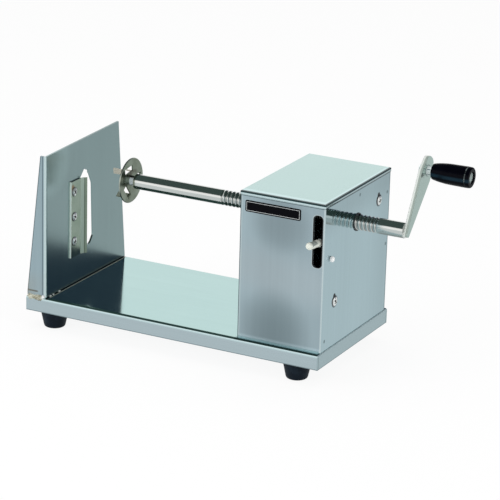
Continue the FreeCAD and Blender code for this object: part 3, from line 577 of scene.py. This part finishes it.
def cross_screw(name, node, finish, seat, head, shank, turn):
    """A pan-head screw along X from its seat. The head's height over the seat is h (1 - (r/R)^2)^0.62, less a cross
    recess whose depth falls to nothing past its two arms; the shank runs straight from the underside."""
    wide, high = head
    thick, long = shank
    columns = 72
    radius = np.linspace(0, 1, 30)[:, None] * wide / 2
    turns = np.linspace(0, 2 * np.pi, columns, endpoint=False)[None]
    crown = high * (1 - (radius / (wide / 2)) ** 2) ** 0.62 * np.ones_like(turns)
    across = radius * np.cos(turns + turn), radius * np.sin(turns + turn)
    arms = [
        np.clip((0.00085 - np.abs(across[number])) / 0.0003, 0, 1)
        * np.clip((wide * 0.27 - np.abs(across[1 - number])) / 0.0005, 0, 1)
        for number in (0, 1)
    ]
    depth = np.maximum(*arms) * high * 0.75
    along = np.concatenate([depth - crown, np.zeros((1, columns)), np.full((2, columns), long)])
    reach = np.concatenate([radius * np.ones_like(turns), np.full((2, columns), thick), np.zeros((1, columns))])
    seat_y, seat_z = middle(node)[1:]
    grid = np.stack([seat - along, seat_y + reach * np.cos(turns), seat_z - reach * np.sin(turns)], axis=-1)
    made = piece(name, [grid], finish, "frame", 35)
    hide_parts(node)
    return made


def bright_steel(name, heads, seat, wide, tones):
    """Bright plate with painted shade in the cross recess and round the rim of the pan heads on some nodes. The recess
    is where a point within a quarter of the width stands under a set height over the seat."""
    bright = Finish(name)
    x, y, z = bright.place()
    scuff = bright.noise(700, detail=4.0)
    dark = 0
    for node in heads:
        head_y, head_z = middle(node)[1:]
        reach = (y - head_y).far(z - head_z).root()
        # Painted shade in the cross recess, and in a ring round the rim of the head.
        dark = dark + reach.step(wide * 0.31, wide * 0.25) * x.step(seat + 0.00125, seat + 0.0007)
        dark = dark + 0.85 * reach.step(wide * 0.41, wide * 0.45) * reach.step(wide * 0.55, wide * 0.52)
    tone = bright.mix(dark, bright.mix(scuff, *tones), (0.03, 0.035, 0.04))
    return bright.surface(tone, 0.75, 0.12 + 0.12 * scuff, scuff, 0.00002, 0.3)


blade_seat = plate_face + 0.0015
blade_head = 0.0093, 0.0016
blade_screws = [f"blade_screw_{number}" for number in (1, 2, 3)]
bright_tones = (0.88, 0.90, 0.90), (0.97, 0.99, 0.99)
bright = bright_steel("bright screw", blade_screws, blade_seat, blade_head[0], bright_tones)
for number, node in enumerate(blade_screws, 1):
    name = f"blade_pan_head_{number}"
    screw = cross_screw(name, node, bright, blade_seat, blade_head, (0.0023, 0.0083), 0.2 + 0.5 * number)
zinc.paint("blade_nut_1", "blade_nut_2", "blade_nut_3")


# Housing. Two folded stainless shells meet at the front: the front shell carries the slotted front and the right panel
# with its shaft hole, the back shell closes the rest. The front is satin, and the right panel nearly a mirror.

lid_foot = 0.1699
slot_middle = 0.10105, 0.13805
slot_half = 0.0041, 0.02475
slot_flat = 0.0009
weld_marks = [(0.0104, 0.1643), (0.0711, 0.1511), (0.0722, 0.0997), (-0.0547, 0.0415)]
dark_spots = [(0.0520, 0.1532), (-0.0368, 0.0803)]
nearly_black = (0.004, 0.005, 0.006)


def front_with_painted_reflections(steel, x, z, cloud):
    """The colour of the front, with painted reflections: a dark pool low down, a fainter one under the blank plate, a
    pale band between them, and painted light at its foot."""
    pool = ((x - 0.0600) * 34).far((z - 0.041) * 28).step(2.1, -0.7)
    upper_pool = ((x - 0.064) * 36).far((z - 0.148) * 40).step(1.7, -0.2)
    band = abs(z - 0.100 + 0.10 * (x - 0.06)).step(0.034, 0.004)
    left = x.step(0.052, 0.020) * z.step(0.060, 0.085)
    foot = z.step(tray_top + 0.0050, tray_top + 0.0004)
    level = 1.0 + 0.60 * foot + band * (0.03 + 0.13 * x.step(0.045, 0.095))
    level = level + 0.12 * left - 0.40 * pool - 0.24 * upper_pool
    tone = steel.shade((0.470, 0.575, 0.620), level + 0.10 * (cloud - 0.5))
    return steel.cover(tone, (pool * 0.22, (0.10, 0.17, 0.19)), (band * 0.30, (0.57, 0.59, 0.61)))


def panel_steel(name, side_tone, side_rough):
    """Steel whose front is satin, brushed upright with soft clouds. A highlight is painted on the front-right fold,
    round the slot and near the front's left edge, with painted shade on that edge's margin; black shade is painted
    round the slot to widen its dark opening, and painted shadow lies under the lid. The right panel is painted darker
    towards its top and far end, shows the marks of the welds behind it, and has a dark spot over each screw, with
    painted shade in a ring round each screw's head."""
    steel = Finish(name)
    x, y, z = steel.place()
    grain = steel.noise(330, (1, 1, 0.02), 4.0)
    cloud = steel.noise(17, (1, 1, 0.55))
    face = y.step(housing_front + 0.0016, housing_front + 0.0006)
    outside = x.step(housing_right - 0.0006, housing_right - 0.0001)
    # Painted shade: the right panel is painted darker towards its top and towards its far end.
    level = (0.96 + 0.08 * cloud) * (1.0 - 0.16 * z.step(0.135, 0.165) - 0.08 * y.step(0.03, 0.07))
    across = (abs(x - slot_middle[0]) - slot_flat).above(0.0)
    along = (abs(z - slot_middle[1]) - (slot_half[1] - slot_half[0])).above(0.0)
    reach = across.far(along)
    # Painted shade: black is painted round the slot, widening its dark opening, with a painted highlight just outside
    # it.
    slot_shade = reach.step((slot_half[0] + 0.0002) ** 2, slot_half[0] ** 2) * face
    slot_rim = reach.step((slot_half[0] + 0.0009) ** 2, (slot_half[0] + 0.0004) ** 2) * face
    # A highlight is painted near the front's left edge, and painted shade on the edge's very margin.
    left_edge_highlight = x.step(housing_left + 0.0024, housing_left + 0.0016) * face
    left_edge_shade = x.step(housing_left + 0.0009, housing_left + 0.0005) * face
    # Painted highlight along the front-right fold.
    corner = x.step(housing_right - 0.0013, housing_right - 0.0008)
    corner = corner * y.step(housing_front + 0.0020, housing_front + 0.0008)
    # Painted shadow under the lid's rim, at the top of the panels.
    under_lid_shadow = z.step(lid_foot - 0.0010, lid_foot - 0.0005) * (1 - face * z.step(lid_foot - 0.0003, lid_foot))
    tone = steel.cover(
        steel.mix(face, steel.shade(side_tone, level), front_with_painted_reflections(steel, x, z, cloud)),
        (left_edge_highlight * 0.4, (0.80, 0.90, 0.90)),
        (left_edge_shade * 0.8, (0.05, 0.08, 0.09)),
        (slot_rim * 0.6, (0.80, 0.88, 0.88)),
        (corner * 0.9, (0.78, 0.88, 0.90)),
        (slot_shade, nearly_black),
        (under_lid_shadow * 0.9, (0.07, 0.11, 0.12)),
    )
    marks = 0
    for mark_y, mark_z in weld_marks:
        marks = marks + ((y - mark_y) * 1000).far((z - mark_z) * 1000).step(4.5, 1.0)
    marks = marks * outside
    # A dark spot over each screw, and painted shade in a ring round each screw's head.
    spots_and_ring_shade = 0
    for mark_y, mark_z in dark_spots:
        spots_and_ring_shade = spots_and_ring_shade + ((y - mark_y) * 430).far((z - mark_z) * 440).step(1.4, 0.8)
        ring = ((y - mark_y - 0.0010) * 1000).far((z - mark_z + 0.0056) * 1000).root()
        spots_and_ring_shade = spots_and_ring_shade + 0.7 * ring.step(6.1, 5.6)
    far_edge = y.step(housing_back - 0.0018, housing_back - 0.0012) * outside
    tone = steel.cover(
        steel.shade(tone, 0.95 + 0.10 * grain),
        (marks * 0.8, (0.13, 0.19, 0.20)),
        (spots_and_ring_shade * outside, nearly_black),
        (far_edge * 0.7, (0.10, 0.15, 0.17)),
    )
    rough = side_rough + (0.29 - side_rough) * face + 0.05 * grain + 0.3 * slot_shade
    return steel.surface(tone, 1.0 - slot_shade, rough, 0.12 * grain - marks, 0.00012, 0.25)


panel_steel("front shell steel", (0.500, 0.640, 0.680), 0.035).paint("housing_front_shell")
panel_steel("back shell steel", (0.480, 0.590, 0.620), 0.22).paint("housing_back_shell")


# Lid. A shallow folded pan of the brightest sheet drops over the housing, held by its two clips inside. Its thin rim
# hangs just past the panels all round, and its corners are rounded. Its edges and rim carry painted highlights, painted
# shade and a painted dark reflection.

lid_low, lid_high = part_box("housing_lid")
lid_highlight_tone = (0.74, 0.90, 0.92)

lid = Finish("lid steel")
x, y, z = lid.place()
grain = lid.noise(300, (1, 0.03, 1), 4.0)
cloud = lid.noise(20, (1, 0.6, 1), 3.0)
side = z.step(lid_high[2] - 0.0001, lid_high[2] - 0.0004)
front = side * y.step(lid_low[1] + 0.0012, lid_low[1] + 0.0006)
to_right, to_front = lid_high[0] - x, y - lid_low[1]
# Painted highlight in a pale band near the top's right and front edges and on the front side, and a painted dark
# reflection in a narrow band at the very edge and on the fillet.
pale = to_right.step(0.0052, 0.0036).above(to_front.step(0.0100, 0.0070))
dark = to_right.step(0.0024, 0.0018).above(to_front.step(0.0034, 0.0026)) * (1 - side)
fillet = side * z.step(lid_high[2] - 0.0016, lid_high[2] - 0.0013)
tone = lid.cover(
    lid.mix(cloud, (0.475, 0.665, 0.640), (0.510, 0.705, 0.685)),
    (pale * 0.7, (0.66, 0.86, 0.88)),
    (side * 0.9, (0.50, 0.64, 0.66)),
    (front, lid_highlight_tone),
    (dark.above(fillet), (0.035, 0.075, 0.080)),
)
tone = lid.shade(tone, 0.96 + 0.08 * grain)
lid.surface(tone, 1.0, 0.12 + 0.07 * grain, grain, 0.00002, 0.25)
lid.paint("housing_lid")


def rounded_oblong(half, radius, inset):
    """The (u, v) points of an oblong with round corners, set in by an inset: each turn gives a point on the corner's
    circle, pushed out to the oblong's straight sides."""
    columns = 96
    t = np.linspace(0, 2 * np.pi, columns, endpoint=False) + np.pi / columns
    corner = np.sign(np.stack([np.cos(t), np.sin(t)], axis=1)) * (np.array(half) - radius)
    reach = max(radius - inset, 0.0001)
    return corner - np.sign(corner) * max(inset - radius, 0.0) + reach * np.stack([np.cos(t), np.sin(t)], axis=1)


lid_half = (lid_high[0] - lid_low[0]) / 2, (lid_high[1] - lid_low[1]) / 2
lid_under = lid_high[2] - 0.0013
rim_sheet = 0.00055
rim_outline = [
    (0.0, lid_under),
    (0.0, lid_foot + 0.0003),
    (0.0002, lid_foot),
    (0.00045, lid_foot),
    (rim_sheet, lid_foot + 0.0002),
    (rim_sheet, lid_under),
]
rim_rows = []
for inset, height in rim_outline:
    ring = rounded_oblong(lid_half, 0.0012, inset) + np.array(middle("housing_lid")[:2])
    rim_rows.append(np.concatenate([ring, np.full((len(ring), 1), height)], axis=1))

fold = Finish("lid rim steel")
x, y, z = fold.place()
grain = fold.noise(300, (0.05, 0.05, 1), 4.0)
ahead = y.step(lid_low[1] + 0.0010, lid_low[1] + 0.0004)
band = z.step(lid_foot + 0.0008, lid_foot + 0.0012)
# Painted shade on the rim's lower part, except at the front, and a painted highlight on the upper part of the front.
tone = fold.cover(
    fold.mix(grain, (0.48, 0.60, 0.62), (0.56, 0.68, 0.70)),
    ((1 - band) * (1 - ahead), (0.06, 0.10, 0.11)),
    (ahead * band, lid_highlight_tone),
)
fold.surface(tone, 0.8, 0.20 + 0.07 * grain, grain, 0.00002, 0.25)
lid_rim = piece("lid_rim", [np.array(rim_rows)], fold, "frame", 40, loop=True)


# Plate on the front. A small blank plate with a rounded edge, stuck to the front of the housing under the lid. It is
# black enamel with a fine pale raised line round it.

badge_middle = (0.0555, 0.1601)
badge_half = (0.02805, 0.0054)
badge_round = 0.0016
badge_thick = 0.00055
line_outer, line_inner = 0.0012, 0.0016


def front_plate_grid():
    """Outlines of the plate from its back to its face: rows of (share of the thickness, inset) step inwards over a
    rounded edge and across the fine raised line."""
    rows = [
        (0.0, None),
        (0.0, 0.0),
        (0.7, 0.0),
        (0.9, 0.00018),
        (0.9, line_outer - 0.0001),
        (1.0, line_outer),
        (1.0, line_inner),
        (0.9, line_inner + 0.0001),
        (0.9, None),
    ]
    grid = []
    for share, inset in rows:
        ring = np.zeros((96, 2)) if inset is None else rounded_oblong(badge_half, badge_round, inset)
        u, v = (ring + badge_middle).T
        grid.append(np.stack([u, np.full(len(ring), housing_front - share * badge_thick), v], axis=1))
    return np.array(grid)


enamel = Finish("black enamel plate")
speck = enamel.noise(800, detail=3.0)
raised = enamel.place()[1].step(housing_front - 0.94 * badge_thick, housing_front - 0.98 * badge_thick)
tone = enamel.mix(speck, (0.001, 0.001, 0.002), (0.004, 0.004, 0.006))
tone = enamel.mix(raised, tone, (0.66, 0.69, 0.69))
enamel.surface(tone, raised * 0.5, 0.32 + 0.10 * speck, speck, 0.00002, 0.2, {"Specular IOR Level": 0.04})
front_plate = piece("blank_front_plate", [front_plate_grid()], enamel, "frame", 25)


# Brackets and bushes inside the housing. Two plain angles are screwed to the tray, and two black nylon bushes carry the
# shaft in the side panels.

bracket_tones = (0.46, 0.50, 0.51), (0.60, 0.63, 0.64)
bracket_steel = even_finish("bracket steel", (320, (0.03, 1, 1), 4.0), bracket_tones, 1.0, (0.28, 0.12), (0.00003, 0.3))
bracket_steel.paint("housing_bracket_front", "housing_bracket_back")
zinc.paint(*[f"bracket_screw_{side}_{number}" for side in ("front", "back") for number in (1, 2)])

nylon_tones = (0.018, 0.020, 0.022), (0.040, 0.043, 0.046)
nylon = even_finish("black nylon", (1400, (1, 0.2, 0.2), 3.0), nylon_tones, 0.0, (0.38, 0.15), (0.00003, 0.4))
nylon.paint("guide_bush_left", "guide_bush_right")


# Lever. A flat steel bar hangs from the pivot screw near the back and carries a brass half nut that drops onto the
# shaft's thread. The user lifts its polished pin, which reaches out through the slot.

bar_tones = (0.36, 0.39, 0.39), (0.50, 0.53, 0.53)
bar = even_finish("lever bar steel", (300, (1, 0.03, 1), 4.0), bar_tones, 1.0, (0.26, 0.14), (0.00003, 0.3))
bar.paint("lever_bar")

brass_tones = (0.62, 0.47, 0.20), (0.80, 0.66, 0.34)
brass = even_finish("half nut brass", (520, (0.05, 1, 1), 4.0), brass_tones, 1.0, (0.20, 0.16), (0.00004, 0.4))
brass.paint("half_nut")
zinc.paint("half_nut_screw_1", "half_nut_screw_2", "pivot_spacer", "pivot_nut", "anchor_nut")

pin_steel = Finish("lever pin steel")
x, y, z = pin_steel.place()
ring = pin_steel.noise(900, (0.15, 1, 0.15), 3.0)
worn = pin_steel.noise(160, detail=4.0)
pin_end, pin_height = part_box("lever_pin")[0][1], middle("lever_pin")[2]
# Painted shade: a darker patch on the top of the pin towards its tip.
pin_top_shade = z.step(pin_height + 0.0002, pin_height + 0.0014)
pin_top_shade = pin_top_shade * y.step(pin_end + 0.0015, pin_end + 0.0040) * y.step(pin_end + 0.0160, pin_end + 0.0120)
tone = pin_steel.mix(worn, (0.80, 0.83, 0.74), (0.92, 0.94, 0.86))
tone = pin_steel.mix(pin_top_shade * 0.75, tone, (0.16, 0.20, 0.19))
pin_steel.surface(tone, 0.35, 0.34 + 0.14 * ring, ring, 0.00002, 0.3)
pin_steel.paint("lever_pin")


# Panel screws and rivet. The lever's pivot and the spring's anchor are bright pan heads on the right panel, and a domed
# rivet between them stops the bar.

panel_head = 0.0100, 0.0018
panel_tones = (0.93, 0.95, 0.93), (1.0, 1.0, 0.99)
whitened = bright_steel("panel screw", ("pivot_screw", "anchor_screw"), housing_right, panel_head[0], panel_tones)
for name, node, turn in (("pivot_pan_head", "pivot_screw", 0.35), ("anchor_pan_head", "anchor_screw", 0.9)):
    shank = 0.0025, housing_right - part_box(node)[0][0]
    screw = cross_screw(name, node, whitened, housing_right, panel_head, shank, turn)

rivet_corners = [
    (0.0036, 0.0, 0),
    (0.0036, 0.0028, 0.0019),
    (0.0003, 0.0028, 0.0012),
    (0.0, 0.0020, 0),
    (0.0, 0.0018, 0),
    (-0.0076, 0.0018, 0.0005),
    (-0.0080, 0.0, 0),
]
rivet_tones = (0.94, 0.96, 0.96), (0.99, 1.0, 1.0)
# Painted light: the rivet is painted near white and nearly matt, as bright as its highlights.
nickel = even_finish("rivet nickel", (900, no_stretch, 4.0), rivet_tones, 0.1, (0.22, 0.12), (0.00002, 0.3))
rivet_seat = (housing_right, *middle("stop_rivet")[1:])
rivet = piece("domed_rivet", [spun(rounded(rivet_corners, 10), rivet_seat, (1, 0, 0), 48)], nickel, "frame", 35)
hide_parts("stop_rivet")


# Return spring. A close coil of spring wire pulls the lever down onto the thread; an eye at its foot hooks round the
# anchor screw.

spring_low, spring_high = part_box("lever_spring")
spring_wire = 0.00045
spring_radius = (spring_high[0] - spring_low[0]) / 2 - spring_wire
spring_middle = middle("lever_spring")[:2]
eye_height = middle("anchor_screw")[2]


def wire_round(path, radius):
    """A round wire along a path of points: p = path + r (u cos t + v sin t), where u and v stand square to the path's
    direction and u keeps away from the vertical. Each end is closed by a small cap."""
    columns = 10
    along = np.gradient(path, axis=0)
    along /= np.linalg.norm(along, axis=1)[:, None]
    u = np.cross(along, (0.02, 0.03, 1.0))
    u /= np.linalg.norm(u, axis=1)[:, None]
    v = np.cross(along, u)
    t = np.linspace(0, 2 * np.pi, columns, endpoint=False)
    body = path[:, None] + radius * (np.cos(t)[None, :, None] * u[:, None] + np.sin(t)[None, :, None] * v[:, None])
    caps = [np.repeat(path[end][None, None], columns, axis=1) for end in (0, -1)]
    return np.concatenate([caps[0], body, caps[1]])


def spring_path():
    """A round eye about the screw, and then a helix with open turns that tapers into a straight neck at both ends."""
    turns, eye_radius = 26, 0.0030
    s = np.linspace(0, 1, turns * 18)
    angle = 2 * np.pi * turns * s
    radius = spring_radius * np.clip(np.minimum(s, 1 - s) * 40 + 0.12, 0, 1)
    low, high = eye_height + 0.0062, spring_high[2] - spring_wire
    coil_x, coil_y = spring_middle[0] + radius * np.cos(angle), spring_middle[1] + radius * np.sin(angle)
    coil = np.stack([coil_x, coil_y, low + (high - low) * s], axis=1)
    turn = np.linspace(-1.5 * np.pi, 0.5 * np.pi, 30)
    eye_y, eye_z = spring_middle[1] + eye_radius * np.cos(turn), eye_height + eye_radius * np.sin(turn)
    eye = np.stack([np.full(len(turn), spring_middle[0]), eye_y, eye_z], axis=1)
    return np.concatenate([eye, coil])


wire_tones = (0.46, 0.47, 0.46), (0.62, 0.63, 0.61)
wire = even_finish("spring steel", (1200, no_stretch, 3.0), wire_tones, 1.0, (0.26, 0.14), (0.00001, 0.3))
spring = piece("return_spring", [wire_round(spring_path(), spring_wire)], wire, None, 60)
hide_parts("lever_spring")
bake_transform(spring)


# Shaft. A polished 14.7 mm stainless rod with a rounded 4 mm thread cut along its middle, which runs out at both ends.
# Its nose is bored for the sleeve that holds the skewer, and the hub and the pronged disc are pressed on it. Painted
# shade darkens the thread's roots, and a painted reflection lays a warm brown under its end outside the housing.

shaft_axis = (0.0070, 0.1392)
shaft_left, shaft_right = -0.12670, 0.15575
shaft_radius = 0.00735
shaft_chamfer = 0.0006
sleeve_bore, sleeve_deep = 0.00409, 0.0383
thread_pitch = 0.004
thread_depth = 0.00095
thread_left, thread_right = -0.03345, 0.13000


def threaded_shaft():
    """Rows along the shaft: r = R - d g(phase) f(x), where the phase is x / pitch - t / 2 pi, g is 0 on the crest and 1
    in the round root, and f fades the thread in over one and a half turns and out over less than half of one."""
    columns = 72
    t = np.linspace(0, 2 * np.pi, columns, endpoint=False)
    plain = np.linspace(shaft_left + shaft_chamfer, thread_left - 0.001, 8)
    cut = np.linspace(thread_left, thread_right, 760)
    tail = np.linspace(thread_right + 0.001, shaft_right, 4)
    x = np.concatenate([plain, cut, tail])[:, None]
    phase = x / thread_pitch - t[None] / (2 * np.pi)
    wave = (1 + np.cos(2 * np.pi * phase)) / 2
    groove = np.clip(wave * 1.25 - 0.15, 0, 1) ** 0.8
    fade_in = np.clip((x - thread_left) / (1.5 * thread_pitch), 0, 1)
    fade_out = np.clip((thread_right - x) / (0.4 * thread_pitch), 0, 1)
    radius = shaft_radius - thread_depth * groove * fade_in * fade_out
    deep = shaft_left + sleeve_deep
    rim = shaft_radius - shaft_chamfer
    nose = np.array([(deep, 0.0), (deep, sleeve_bore), (shaft_left, sleeve_bore), (shaft_left, rim)])
    x = np.concatenate([nose[:, :1], x, [[shaft_right]]]) * np.ones((1, columns))
    radius = np.concatenate([nose[:, 1:] * np.ones((1, columns)), radius, np.zeros((1, columns))])
    return np.stack([x, shaft_axis[0] + radius * np.cos(t), shaft_axis[1] + radius * np.sin(t)], axis=-1)


shaft_steel = Finish("shaft steel")
x, y, z = shaft_steel.place()
back, up = y - shaft_axis[0], z - shaft_axis[1]
ring = shaft_steel.noise(420, (1, 0.06, 0.06), 4.0)
smear = shaft_steel.noise(60, (0.4, 1, 1), 3.0)
phase = x / thread_pitch - up.math("ARCTAN2", up, back) / (2 * math.pi)
phase = phase.math("FRACT", phase)
# Painted shade in the thread's roots.
root = back.far(up).root().step(shaft_radius - 0.0001, shaft_radius - 0.0003)
root = root * phase.step(0.60, 0.75) * phase.step(1.0, 0.93)
# Painted reflection: a warm brown on the underside of the shaft's end outside the housing.
under = up.step(-0.0020, -0.0062) * x.step(0.128, 0.134)
tone = shaft_steel.cover(
    shaft_steel.mix(smear, (0.72, 0.74, 0.71), (0.82, 0.83, 0.80)),
    (root * 0.62, (0.10, 0.10, 0.09)),
    (under * 0.8, (0.42, 0.35, 0.29)),
)
shaft_steel.surface(tone, 1.0, 0.08 + 0.06 * ring + 0.10 * root, ring, 0.00002, 0.3)
shaft = piece("threaded_shaft", [threaded_shaft()], shaft_steel, "screw", 38)
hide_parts("screw_shaft")

sleeve = Finish("skewer sleeve nylon")
haze = sleeve.noise(300, detail=3.0)
tone = sleeve.mix(haze, (0.78, 0.76, 0.70), (0.86, 0.85, 0.80))
waxy = {"Subsurface Weight": 0.1, "Subsurface Radius": (0.002, 0.002, 0.0015)}
sleeve.surface(tone, 0.0, 0.42 + 0.12 * haze, haze, 0.00003, 0.3, waxy)
sleeve.paint("skewer_bush")

disc_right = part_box("prong_disc")[1][0]
disc_steel = Finish("disc steel")
x, y, z = disc_steel.place()
back, up = y - shaft_axis[0], z - shaft_axis[1]
reach = back.far(up).root()
satin = disc_steel.noise(260, (1, 1, 0.25), 4.0)
soil = disc_steel.noise(85, detail=4.0)
prong = x.step(disc_right - 0.0017, disc_right - 0.0024)
tone = disc_steel.cover(
    disc_steel.mix(soil.step(0.3, 0.7), (0.20, 0.23, 0.17), (0.30, 0.34, 0.27)),
    (soil.step(0.48, 0.66) * reach.step(0.016, 0.009) * 0.8, (0.07, 0.055, 0.035)),
    # Painted highlight: a pale line round the disc's rim.
    (reach.step(0.0214, 0.0219) * 0.6, (0.62, 0.66, 0.60)),
    (prong * up.step(-0.002, 0.004), (0.60, 0.57, 0.48)),
)
disc_steel.surface(tone, 1.0 - 0.6 * prong, 0.18 + 0.14 * satin, satin, 0.00003, 0.35)
disc_steel.paint("prong_disc")

hub_steel = Finish("hub steel")
x, y, z = hub_steel.place()
back, up = y - shaft_axis[0], z - shaft_axis[1]
ring = hub_steel.noise(900, (1, 0.05, 0.05), 3.0)
# Painted highlight: a pale, less metallic stripe on the front of the hub.
shine = abs(up + 0.0006).step(0.0056, 0.0040) * back.step(-0.0016, -0.0040)
tone = hub_steel.mix(ring, (0.30, 0.28, 0.24), (0.44, 0.42, 0.37))
tone = hub_steel.mix(shine, tone, (0.80, 0.90, 0.94))
hub_steel.surface(tone, 1.0 - 0.8 * shine, 0.10 + 0.12 * ring, ring, 0.00002, 0.3)
hub_steel.paint("disc_hub")


# Crank. A 4 mm flat arm that widens towards its head is welded to the shaft's end. The grip's bolt is clamped through
# its head between a nut and a hexagon collar.

arm_left, arm_right = (corner[0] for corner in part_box("crank_arm"))
grip_axis = (0.042783, 0.187735)
crank_angle = math.radians(53.6)
spindle_bore = 0.00305

arm_steel = Finish("crank arm steel")
x, y, z = arm_steel.place()
grain = arm_steel.noise(300, (1, 0.04, 1), 4.0, (crank_angle, 0, 0))
soft = arm_steel.noise(40, detail=3.0)
edge = (x - arm_left).step(0.00002, 0.0002) * (arm_right - x).step(0.00002, 0.0002)
# Painted highlight on the outer half of the arm's edge.
outer = edge * x.step(arm_left + 0.0022, arm_left + 0.0016)
# Painted shadow in a ring round the nut's foot on the arm.
nut_foot_shadow = (y - grip_axis[0]).far(z - grip_axis[1]).root().step(0.0061, 0.0054)
tone = arm_steel.cover(
    arm_steel.mix(soft, (0.50, 0.61, 0.56), (0.56, 0.67, 0.61)),
    (edge, (0.40, 0.47, 0.43)),
    (outer, (0.86, 0.90, 0.86)),
    (nut_foot_shadow * (1 - edge) * 0.45, (0.07, 0.10, 0.11)),
)
arm_steel.surface(tone, 1.0 - 0.7 * edge, 0.18 + 0.10 * grain + 0.15 * edge, grain, 0.00003, 0.3)
arm_steel.paint("crank_arm")

fillet_steel = Finish("arm weld steel")
ripple = fillet_steel.noise(900, detail=4.0)
tone = fillet_steel.mix(ripple.step(0.3, 0.45), (0.12, 0.13, 0.12), (0.88, 0.91, 0.88))
fillet_steel.surface(tone, 0.6, 0.24 + 0.12 * ripple, ripple, 0.0001, 0.4)
fillet_steel.paint("arm_weld")


def hexagon(start, way, flats, high):
    """A nut with chamfered corners: at each turn t the side stands at (flats / 2) / cos(t') off the axis, t' being the
    turn from the middle of its flat, and is cut down to a cone at each end; the bore's rows close it."""
    columns = 96
    chamfer = 0.10
    t = np.linspace(0, 2 * np.pi, columns, endpoint=False)
    flat = (flats / 2) / np.cos((t + np.pi / 6) % (np.pi / 3) - np.pi / 6)
    narrow = np.minimum(flat, flats / 2 / math.cos(math.pi / 6) * (1 - chamfer))
    bore = np.full(columns, spindle_bore)
    rows = [(0, bore), (0, narrow), (0.25, flat), (0.35, flat), (0.65, flat), (0.75, flat), (1, narrow), (1, bore)]
    along = np.array([share * high for share, row in rows])
    reach = np.array([row for share, row in rows])
    x = start + way * along[:, None] * np.ones(columns)
    return np.stack([x, grip_axis[0] + reach * np.cos(t), grip_axis[1] + reach * np.sin(t)], axis=-1)


nut_steel = Finish("spindle nut steel")
x, y, z = nut_steel.place()
reach = (y - grip_axis[0]).far(z - grip_axis[1]).root()
# Painted light: the nuts are painted near white and matt, as bright as their reflections, with painted shade along
# their outer corners.
collar_corner = x.step(arm_right - 0.001, arm_right) * reach.step(0.00450, 0.00468)
nut_corner = x.step(arm_right, arm_right - 0.001) * reach.step(0.00515, 0.00535)
facet = nut_steel.noise(700, detail=4.0)
tone = nut_steel.mix(facet, (0.86, 1.0, 1.0), (0.94, 1.0, 1.0))
tone = nut_steel.mix((collar_corner + nut_corner) * 0.85, tone, (0.08, 0.14, 0.17))
nut_steel.surface(tone, 0.0, 0.08 + 0.10 * facet, facet, 0.00002, 0.25)
for name, node, start, way, flats, high in (
    ("clamp_nut", "spindle_nut_inner", arm_left, -1, 0.0096, 0.0034),
    ("hexagon_collar", "spindle_nut_outer", arm_right, 1, 0.0084, 0.0048),
):
    nut = piece(name, [hexagon(start, way, flats, high)], nut_steel, "screw", 20, loop=True)
    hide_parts(node)
bright.paint("grip_spindle")


# Grip. Glossy black moulded plastic turns freely on the bolt: a neck that swells into a barrel, a groove, and a rim
# round the bright cup that hides the bolt's head.

grip_left, grip_right = 0.16485, 0.20345
groove_left, groove_right = 0.19895, 0.19985
grip_bore, cup_radius = 0.00309, 0.00555
grip_body, groove_floor = 0.0099, 0.0094
cup_floor = 0.19485
grip_profile = rounded(
    [
        (grip_left, grip_bore, 0),
        (grip_left, 0.0073, 0.0014),
        (grip_left + 0.0065, 0.0087, 0.0035),
        (grip_left + 0.0150, 0.0096, 0.0040),
        (groove_left, grip_body, 0.00026),
        (groove_left, groove_floor, 0.0002),
        (groove_right, groove_floor, 0.0002),
        (groove_right, grip_body, 0.00026),
        (grip_right, 0.0096, 0.0014),
        (grip_right, cup_radius, 0.0005),
        (cup_floor, cup_radius, 0),
        (cup_floor, grip_bore, 0),
    ],
    8,
)
grip_profile[:, 0] -= grip_left

plastic = Finish("grip plastic")
x, y, z = plastic.place()
flow = plastic.noise(220, (0.4, 1, 1), 3.0)
dust = plastic.noise(70, detail=5.0)
over, ahead = z - grip_axis[1], y - grip_axis[0]
# Painted reflection: a soft dark blue band on the lower front of the grip.
band = abs(over + 0.0012).step(0.0026, 0.0006) * ahead.step(0.0, -0.003) * dust.step(0.30, 0.55)
groove = x.step(groove_left - 0.0001, groove_left + 0.0001) * x.step(groove_right + 0.0001, groove_right - 0.0001)
tone = plastic.cover(
    plastic.mix(dust.step(0.5, 0.85), (0.001, 0.001, 0.003), (0.003, 0.004, 0.007)),
    (band, (0.008, 0.022, 0.034)),
    (groove * flow.step(0.4, 0.6), (0.20, 0.24, 0.24)),
)
plastic.surface(tone, 0.0, 0.22 + 0.10 * flow, flow, 0.00005, 0.2, {"Specular IOR Level": 0.05})
grip_grid = spun(grip_profile, (grip_left, *grip_axis), (1, 0, 0), 96)
grip = piece("moulded_grip", [grip_grid], plastic, "grip_body", 40, loop=True)
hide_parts("grip")

cup_tones = (0.58, 0.66, 0.64), (0.80, 0.88, 0.86)
cup = even_finish("grip cup steel", (900, (1, 0.08, 0.08), 3.0), cup_tones, 0.5, (0.10, 0.10), (0.00002, 0.3))
cup.paint("grip_end_cup")
